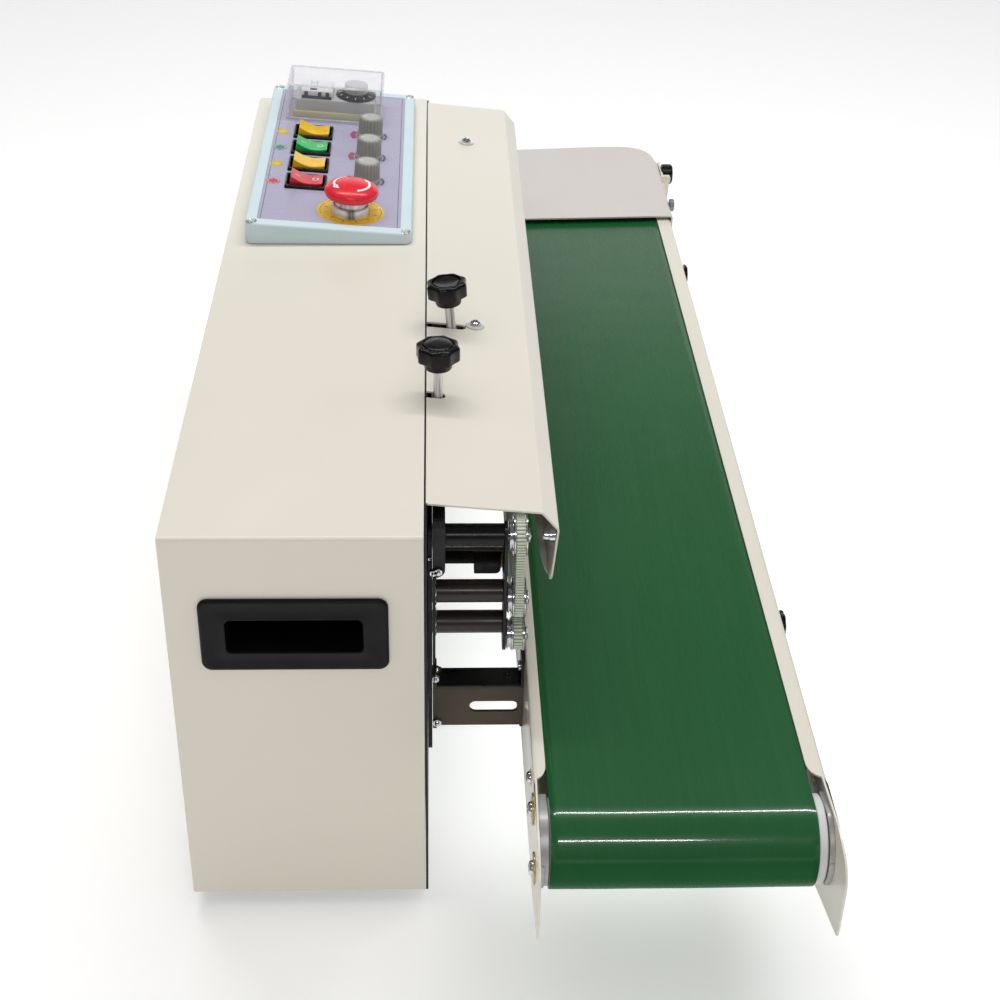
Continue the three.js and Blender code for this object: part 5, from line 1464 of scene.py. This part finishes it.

# painted shade: a thin dark warm-grey sheet over the outer side of the rail next to the housing, standing in for the
# shadow between housing and conveyor
p = Part()
p.prism([(-38, 72.6), (905, 72.6), (905, 144.8), (-44, 144.8), (-49, 138), (-49, 96)], -63.6, -63.2, "Y")
done(p, "left_rail_painted_shade_sheet", "rail_side", bevel=0.12, seg=1)

# bolts on the near plates with yellow washers, and along the rails
p, w, dk = Part(), Part(), Part()
for sgn, y0, ax in ((1, -62.7, "+Y"), (-1, 2 * R_MID + 60.2, "-Y")):
    for x, z in ((-64, 131), (-90, 110)):
        w.lathe([(3.0, y0), (9.2, y0), (9.4, y0 + sgn * 0.2), (9.4, y0 + sgn * 0.7), (9.1, y0 + sgn * 0.95), (3.0, y0 + sgn * 0.95)], (x, 0, z), "Y", 56)
        pan_head(p, (x, y0 + sgn * 0.8, z), 4.6, 2.7, ax, cross=True)
for sgn, yf, ax in ((1, -63.5, "+Y"), (-1, 2 * R_MID + 61.5, "-Y")):
    for x, z in ((-34, 128), (180, 124), (430, 124), (760, 124)):
        y0 = yf - (3.3 * right_skew(x) if sgn < 0 else 0.0)
        w.lathe([(1.0, y0), (5.4, y0), (5.4, y0 + sgn * 0.8), (5.0, y0 + sgn * 1.0), (1.0, y0 + sgn * 1.0)], (x, 0, z), "Y", 36)
        pan_head(p, (x, y0 + sgn * 0.9, z), 3.8, 2.6, ax, cross=True)
done(p, "rail_bolts", "chrome", angle=28)
done(w, "rail_washers", "brass_wash", angle=40)

# bed plate under the carrying run
p = Part()
p.prism(rounded(-45, 838, -229.2, -65.4, 3, 4), 142.4, 143.5)
done(p, "slider_bed_plate", "alu", rep="slider_bed", bevel=0.2, seg=1)

# ------------------------------------------------------------------ belt
IX, IZ, DX, RZ = -78.0, 119.0, 868.0, 120.0
path = belt_path([(IX, IZ, 25.0), (DX, RZ, 24.0)], 200)
pts, step = resample(path, 2.6)
BY0, BY1 = -222.0, -70.6
NY = 30


def belt_wave(x, y, z):
    near_end = max(0.0, min(1.0, (-30 - x) / 60)) + max(0.0, min(1.0, (x - 838) / 40))
    k = 0.05 + 0.27 * min(1.0, near_end)
    q = noise.noise(Vector((x / 26, y / 55, z / 24))) + 0.5 * noise.noise(Vector((x / 60 + 9, y / 38, z / 60)))
    return k * q


p = Part()


def belt_ring(y, inside, e):
    out = []
    for x, z, nx, nz in pts:
        d = e if inside else 2.0 - e
        if e == 0.0 and not inside:
            d += belt_wave(x, y, z) - 0.06
        out.append((x + nx * d, y + 1.6 * max(0.0, (x + 78) / 946) * (BY1 - y) / (BY1 - BY0), z + nz * d))
    return out


ys = [BY0 + 0.25 + (BY1 - BY0 - 0.5) * k / NY for k in range(NY + 1)]
loops = [belt_ring(BY0, False, 0.3)] + [belt_ring(y, False, 0.0) for y in ys] + [belt_ring(BY1, False, 0.3)]
rings = [[p.v(*q) for q in l] for l in loops]
inner_ = [[p.v(*q) for q in belt_ring(y, True, 0.0 if 0 < k < 3 else 0.2)] for k, y in enumerate((BY1, BY1 - 0.3, BY0 + 0.3, BY0))]
allr = rings + inner_
n = len(pts)
for k, (a, b) in enumerate(zip(allr, allr[1:] + allr[:1])):
    p.mi = 0 if k < len(rings) else 1
    if k == len(allr) - 1:
        p.mi = 1
    for i in range(n):
        j = (i + 1) % n
        p.f((a[i], a[j], b[j], b[i]))
done(p, "belt_loop", ["belt", "belt_back"], rep="conveyor_belt", angle=60, slot="green_belt")

# ------------------------------------------------------------------ rollers
p = Part()
p.lathe([(5.6, -227.2), (25.2, -227.2), (26, -226.4), (26, -223.0), (25.6, -222.4), (24.7, -222.2), (24.7, -70.4), (5.6, -70.4)], (IX, 0, IZ), "Y", 112)
done(p, "idle_roller_turned", "roller_white", body="idle_roller", rep="idle_roller", angle=26)
q = Part()
for sgn, y in ((-1, -227.2),):
    for k in range(4):
        a = k * math.tau / 4 + 0.5
        q.lathe([(0, y - 0.1 * sgn), (1.6, y - 0.1 * sgn), (1.6, y + 0.18 * sgn), (0, y + 0.18 * sgn)], (IX + 16 * math.cos(a), 0, IZ + 16 * math.sin(a)), "Y", 16)
done(q, "idle_roller_plugs", "turned", body="idle_roller")
p = Part()
p.lathe([(0, -230.6), (5, -230.6), (5, -64.2), (0, -64.2)], (IX, 0, IZ), "Y", 32)
done(p, "idle_axle_rod", "turned", rep="idle_axle")
for nm, y0, y1 in (("right", -231.4, -227.9), ("left", -70.1, -64.2)):
    p = Part()
    out = [(IX + 25.6 * math.cos(math.radians(a)), IZ + 25.6 * math.sin(math.radians(a))) for a in range(100, 216, 9)]
    out += [(IX - 14, IZ - 21.5), (IX + 6, IZ - 23.0), (IX + 20, IZ - 12), (IX + 22, IZ + 10), (IX + 16, IZ + 22)]
    p.prism(out, y0, y1, "Y", holes=[rounded(IX + 2, IX + 14, IZ + 10, IZ + 14, 1.9, 4)])
    p.lathe([(5.2, y0), (8.6, y0), (8.6, y1), (5.2, y1)], (IX, 0, IZ), "Y", 36)
    step_ = [(IX + 26.3 * math.cos(math.radians(a)), IZ + 26.3 * math.sin(math.radians(a))) for a in range(168, 226, 6)] + [(IX - 10, IZ - 12), (IX - 12, IZ + 4)]
    p.prism(step_, y0 + (2.4 if nm == "left" else 0.0), y1 + (0.0 if nm == "left" else -0.6), "Y")
    done(p, "idle_holder_" + nm, "holder", bevel=0.7, seg=3)

p = Part()
p.lathe([(0, -237.4), (5.4, -237.4), (6, -236.8), (6, BY0 + 2.0), (23.2, BY0 + 2.0), (23.7, BY0 + 2.6), (23.7, BY1 - 0.6), (23.2, BY1), (6, BY1), (6, -31.6), (5.4, -31), (0, -31)], (DX, 0, RZ), "Y", 96)
done(p, "drive_roller_turned", "alu", body="drive_roller", rep="drive_roller", angle=26)
p = Part()
p.lathe([(6.1, -236.8), (9.8, -236.8), (10.4, -236.3), (10.4, -234.7), (6.1, -234.7)], (DX, 0, RZ), "Y", 40)
for k in range(3):
    a = k * math.tau / 3
    p.lathe([(0, -237.2), (1.2, -237.2), (1.2, -236.6), (0, -236.6)], (DX + 8.1 * math.cos(a), 0, RZ + 8.1 * math.sin(a)), "Y", 14)
done(p, "drive_roller_clamp_ring", "holder", body="drive_roller", angle=26)

# ------------------------------------------------------------------ brackets
for nm, x0 in (("near_bracket", 56), ("far_bracket", 536)):
    b_prof = fillet([(x0 + 19, 123.5), (x0, 123.5), (x0, 91)], [2.6], 5)
    bc = [0.0]
    for a, b in zip(b_prof[:-1], b_prof[1:]):
        bc.append(bc[-1] + math.hypot(b[0] - a[0], b[1] - a[1]))
    s1 = bc[6]
    bz = lambda z: s1 + (123.5 - 2.6 - z)
    p = Part()
    p.sheet([(-63.3, 0), (HEAD, 0), (HEAD, bc[-1]), (-63.3, bc[-1])], b_prof, lambda a, x, z: (x, a, z), 2.5, side=1,
            holes=[rounded(-59.4, -28.4, bz(110.8), bz(102.3), 4.1, 6)])
    bm = p.bm
    # painted reflection: the faces of the top flange take black paint instead of the bracket brown, standing in for the
    # dark surroundings the flange reflects
    for f in bm.faces:
        c = f.calc_center_median()
        if c.z > 122.6:
            f.material_index = 1
    done(p, nm + "_angle", ["bracket", "black_paint"], rep=nm, bevel=0.4, seg=2, flat=True)
    p = Part()
    p.prism(rounded(x0 + 0.3, x0 + 26, 87, 127, 2.5, 4), HEAD - 2.5, HEAD, "Y")
    done(p, nm + "_head_tab", "bracket", bevel=0.4)
    p = Part()
    p.prism(rounded(x0 + 0.3, x0 + 19, 88, 144, 2.5, 4), -63.4, -60.9, "Y")
    done(p, nm + "_rail_tab", "black_paint", bevel=0.4)
    p = Part()
    hexagon(p, (x0 + 15, -7.6, 123.4), 6.0, 2.4, "Z")
    hexagon(p, (x0, -7.6, 94.4), 5.6, 2.2, "-X")
    hexagon(p, (x0 + 1, HEAD - 1.6, 129.6), 4.6, 2.0, "-X")
    for z in (100, 132):
        p.lathe([(0, -59.2), (3.2, -59.2), (3.6, -59.6), (3.6, -61.0), (0, -61.0)], (x0 + 10, 0, z), "Y", 24)
    done(p, nm + "_bolts", "chrome", angle=25)

# ------------------------------------------------------------------ exit plate
e_prof = fillet([(-60, 151.5), (-236, 151.5), (-236, 134)], [3.0], 6)
ec = [0.0]
for a, b in zip(e_prof[:-1], e_prof[1:]):
    ec.append(ec[-1] + math.hypot(b[0] - a[0], b[1] - a[1]))
top_end = ec[1]
es = lambda y: -60 - y
ol = [(718.6, 0.0), (887.6, 0.0), (889.2, 0.6), (889.8, 2.2), (902.4, es(-176)), (903.2, es(-188)), (903.3, es(-200)), (902.4, es(-208)), (900.2, es(-215)), (896.6, es(-221)), (891.6, es(-225.8)),
      (885.4, es(-229.4)), (878.5, es(-231.6)), (871, es(-232.6)), (866, top_end - 0.1), (862.5, top_end + 1.5), (861, top_end + 4.5), (860, ec[-1] - 3), (859, ec[-1] - 0.8), (857, ec[-1]), (730, ec[-1]),
      (727.8, ec[-1] - 1), (727, ec[-1] - 3), (726.9, top_end), (716.6, 2.4), (717.2, 0.8)]
p = Part()
p.sheet(ol, e_prof, lambda a, y, z: (a, y, z), 1.5, side=1)
done(p, "exit_plate_sheet", "paint_grey", rep="exit_plate", bevel=0.35, seg=2, slot="warm_grey_paint")
p = Part()
for x, y in ((742, -66), (878, -66), (742, -226.5), (862, -226.5)):
    p.lathe([(0, 147.3), (3.3, 147.3), (3.6, 147.6), (3.6, 150.1), (0, 150.1)], (x, y, 0), "Z", 28)
done(p, "exit_plate_spacers", "zinc")
p = Part()
for x, y in ((742, -66), (878, -66)):
    pan_head(p, (x, y, 151.4), 3.4, 1.5, "Z")
done(p, "exit_plate_screws", "chrome", angle=26)
p = Part()
p.lathe([(0, -236.0), (5.6, -236.0), (6.0, -236.6), (6.0, -239.2), (5.4, -240.2), (0, -240.4)], (757, 0, 149.5), "Y", 40)
done(p, "exit_plate_bolt", "cast", angle=28)
# ear at the end of the outer rail that carries the clamp screw
p = Part()
p.prism([(800, 136), (868, 136), (868, 147), (865, 150.4), (828, 150.4), (822, 147), (800, 141)], -238.6, -236.4, "Y")
p.prism([(-234.5, 152), (-236, 153.4), (-243.2, 153.4), (-244.6, 151.6), (-244.5, 148), (-243.4, 145), (-242.8, 131), (-241.4, 129.5), (-239.5, 129.5), (-237.5, 141), (-234.5, 146)], 820, 824, "X")
done(p, "outer_rail_ear", "paint", bevel=0.5, seg=3)


# ------------------------------------------------------------------ clamp knobs on the far side
def clamp_knob(name, x, y, z, ln, r, thick=False):
    lob = lambda a: math.tanh(1.6 * math.cos(7 * a)) / math.tanh(1.6)
    prof_ = [(0, 0, 0), (2.9, 0, 0), (2.9, -1.2, 0), (r * 0.6, -1.3, 0), (r * 0.66, -ln * 0.42, 0.1), (r * 0.86, -ln * 0.48, 0.4), (r * 0.95, -ln * 0.56, 0.6), (r * 0.95, -ln + 1.8, 0.6),
             (r * 0.9, -ln + 0.7, 0.5), (r * 0.8, -ln + 0.15, 0.3), (r * 0.66, -ln, 0), (r * 0.56, -ln + 0.5, 0), (0, -ln + 0.7, 0)]
    if thick:
        prof_[4:7] = [(r * 0.72, -1.5, 0.1), (r * 0.88, -2.0, 0.4), (r * 0.95, -3.0, 0.6)]
    tb = {(round(a, 4), round(b, 4)): k for a, b, k in prof_}
    p = Part()
    p.lathe([(a, b) for a, b, k in prof_], (x, y, z), "Y", 126, lobes=lambda an, rr_, h: 1 + tb[(round(rr_, 4), round(h, 4))] * lob(an) / rr_)
    done(p, name + "_head", "black_gloss", body=name, rep=name, angle=40, slot="black_plastic")
    q = Part()
    q.lathe([(0, -ln + 0.6), (1.6, -ln + 0.6), (1.6, -ln + 0.15), (0, -ln + 0.1)], (x, y, z), "Y", 20)
    done(q, name + "_insert", "turned", body=name)


clamp_knob("rail_knob_near", 107, -231.9, 132, 6, 10)
clamp_knob("rail_knob_mid", 637, -233.5, 132, 6, 10)
clamp_knob("exit_plate_knob", 845, -236.3, 145.5, 13, 10, True)

# ------------------------------------------------------------------ anything of the frame that is still shown gets a finish
for n_, o in frame["nodes"].items():
    if not o.hide_render and (not o.data.materials or o.data.materials[0] is None or o.data.materials[0].name not in [m.name for m in M.values()]):
        o.data.materials.clear()
        o.data.materials.append(M["black_paint"])

# ------------------------------------------------------------------ camera, floor, lights
YAW, PITCH, ROLL = -0.0465, 0.5801, 0.0238
f_ = Vector((math.cos(PITCH) * math.cos(YAW), math.cos(PITCH) * math.sin(YAW), -math.sin(PITCH)))
r_ = Vector((math.sin(YAW), -math.cos(YAW), 0))
u_ = r_.cross(f_)
r2 = r_ * math.cos(ROLL) + u_ * math.sin(ROLL)
u2 = r_ * -math.sin(ROLL) + u_ * math.cos(ROLL)
cam = bpy.data.cameras.new("camera")
cam_o = bpy.data.objects.new("camera", cam)
bpy.context.scene.collection.objects.link(cam_o)
cam.lens, cam.sensor_width = 61.338, 36
cam.clip_start, cam.clip_end = 0.01, 60
mw = Matrix((r2, u2, -f_)).transposed().to_4x4()
mw.translation = Vector((-1.17538, 0.044336, 0.83161))
cam_o.matrix_world = mw
bpy.context.scene.camera = cam_o

fl = bmesh.new()
bmesh.ops.create_grid(fl, x_segments=8, y_segments=8, size=14)
me = bpy.data.meshes.new("floor")
fl.to_mesh(me)
fl.free()
floor = bpy.data.objects.new("floor", me)
bpy.context.scene.collection.objects.link(floor)
M["floor"] = surface("floor_pale", lin(250, 250, 250), 0.7, var=0.004, var_scale=0.6, grain=3, bump_d=0.0001, bump_s=0.05, spec=0.1)
fb = next(n for n in M["floor"].node_tree.nodes if n.type == "BSDF_PRINCIPLED")
fb.inputs["Emission Color"].default_value = (1.0, 1.0, 1.0, 1.0)
fb.inputs["Emission Strength"].default_value = 0.23
me.materials.append(M["floor"])
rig.stage(floor)

world = bpy.data.worlds.new("studio")
bpy.context.scene.world = world
world.use_nodes = True
bg = world.node_tree.nodes.get("Background") or world.node_tree.nodes.new("ShaderNodeBackground")
bg.inputs[0].default_value = (1.0, 1.0, 1.0, 1)
bg.inputs[1].default_value = 0.17
bpy.context.scene.view_settings.view_transform = "Standard"
bpy.context.scene.view_settings.look = "None"


def area(name, loc, target, sx, sy, power, glossy=True, colour=(1, 1, 1)):
    l = bpy.data.lights.new(name, "AREA")
    l.shape = "RECTANGLE"
    l.size, l.size_y = sx, sy
    l.energy = power
    l.color = colour
    o = bpy.data.objects.new(name, l)
    bpy.context.scene.collection.objects.link(o)
    o.location = loc
    d = (Vector(target) - Vector(loc)).normalized()
    q = d.to_track_quat("-Z", "Y")
    o.rotation_mode = "QUATERNION"
    o.rotation_quaternion = q
    o.visible_glossy = glossy
    return o


def strip(name, loc, target, length, width, power):
    """Long thin lamp that lies along Y."""
    o = area(name, loc, target, length, width, power)
    d = (Vector(target) - Vector(loc)).normalized()
    x = Vector((0, 1, 0))
    z = -d
    x = (x - z * x.dot(z)).normalized()
    y = z.cross(x)
    mt = Matrix((x, y, z)).transposed()
    o.rotation_quaternion = mt.to_quaternion()
    return o


area("overhead", (-0.2, 0.1, 2.7), (0, 0, 0.1), 3.6, 3.2, 35.5, glossy=False)
area("front_fill", (-2.8, 0.3, 1.2), (0, 0, 0.12), 2.6, 1.6, 5.0, glossy=False, colour=(1.0, 0.82, 0.62))
area("side_fill_left", (-0.4, 2.9, 1.3), (0, 0, 0.12), 2.6, 1.8, 1.5, glossy=False)
area("side_fill_right", (-0.2, -2.9, 1.3), (0, 0, 0.12), 2.6, 1.8, 8.0, glossy=False)
area("back_wall", (3.4, 0.0, 0.95), (0, 0, 0.35), 5.0, 1.6, 20.0, glossy=True)
under = area("floor_wash", (0.02, -0.066, 0.062), (0.02, -0.066, 0.0), 0.78, 0.22, 0.5, glossy=False)
under.visible_camera = False
under.rotation_quaternion = (1, 0, 0, 0)
RC = Vector((-0.466, -0.0957, 0.134))
strip("roller_line_1", tuple(RC + Vector((0.439, -0.02, 0.887)) * 2.2), tuple(RC), 2.2, 0.06, 19.0)
strip("roller_line_2", tuple(RC + Vector((-0.72, 0.02, 0.68)) * 2.2), tuple(RC), 0.75, 0.045, 6.0)

lo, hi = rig.bounds()
with open("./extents.json", "w") as fh:
    json.dump({"cad": [list(CAD_LO), list(CAD_HI)], "visual": [list(lo), list(hi)]}, fh)
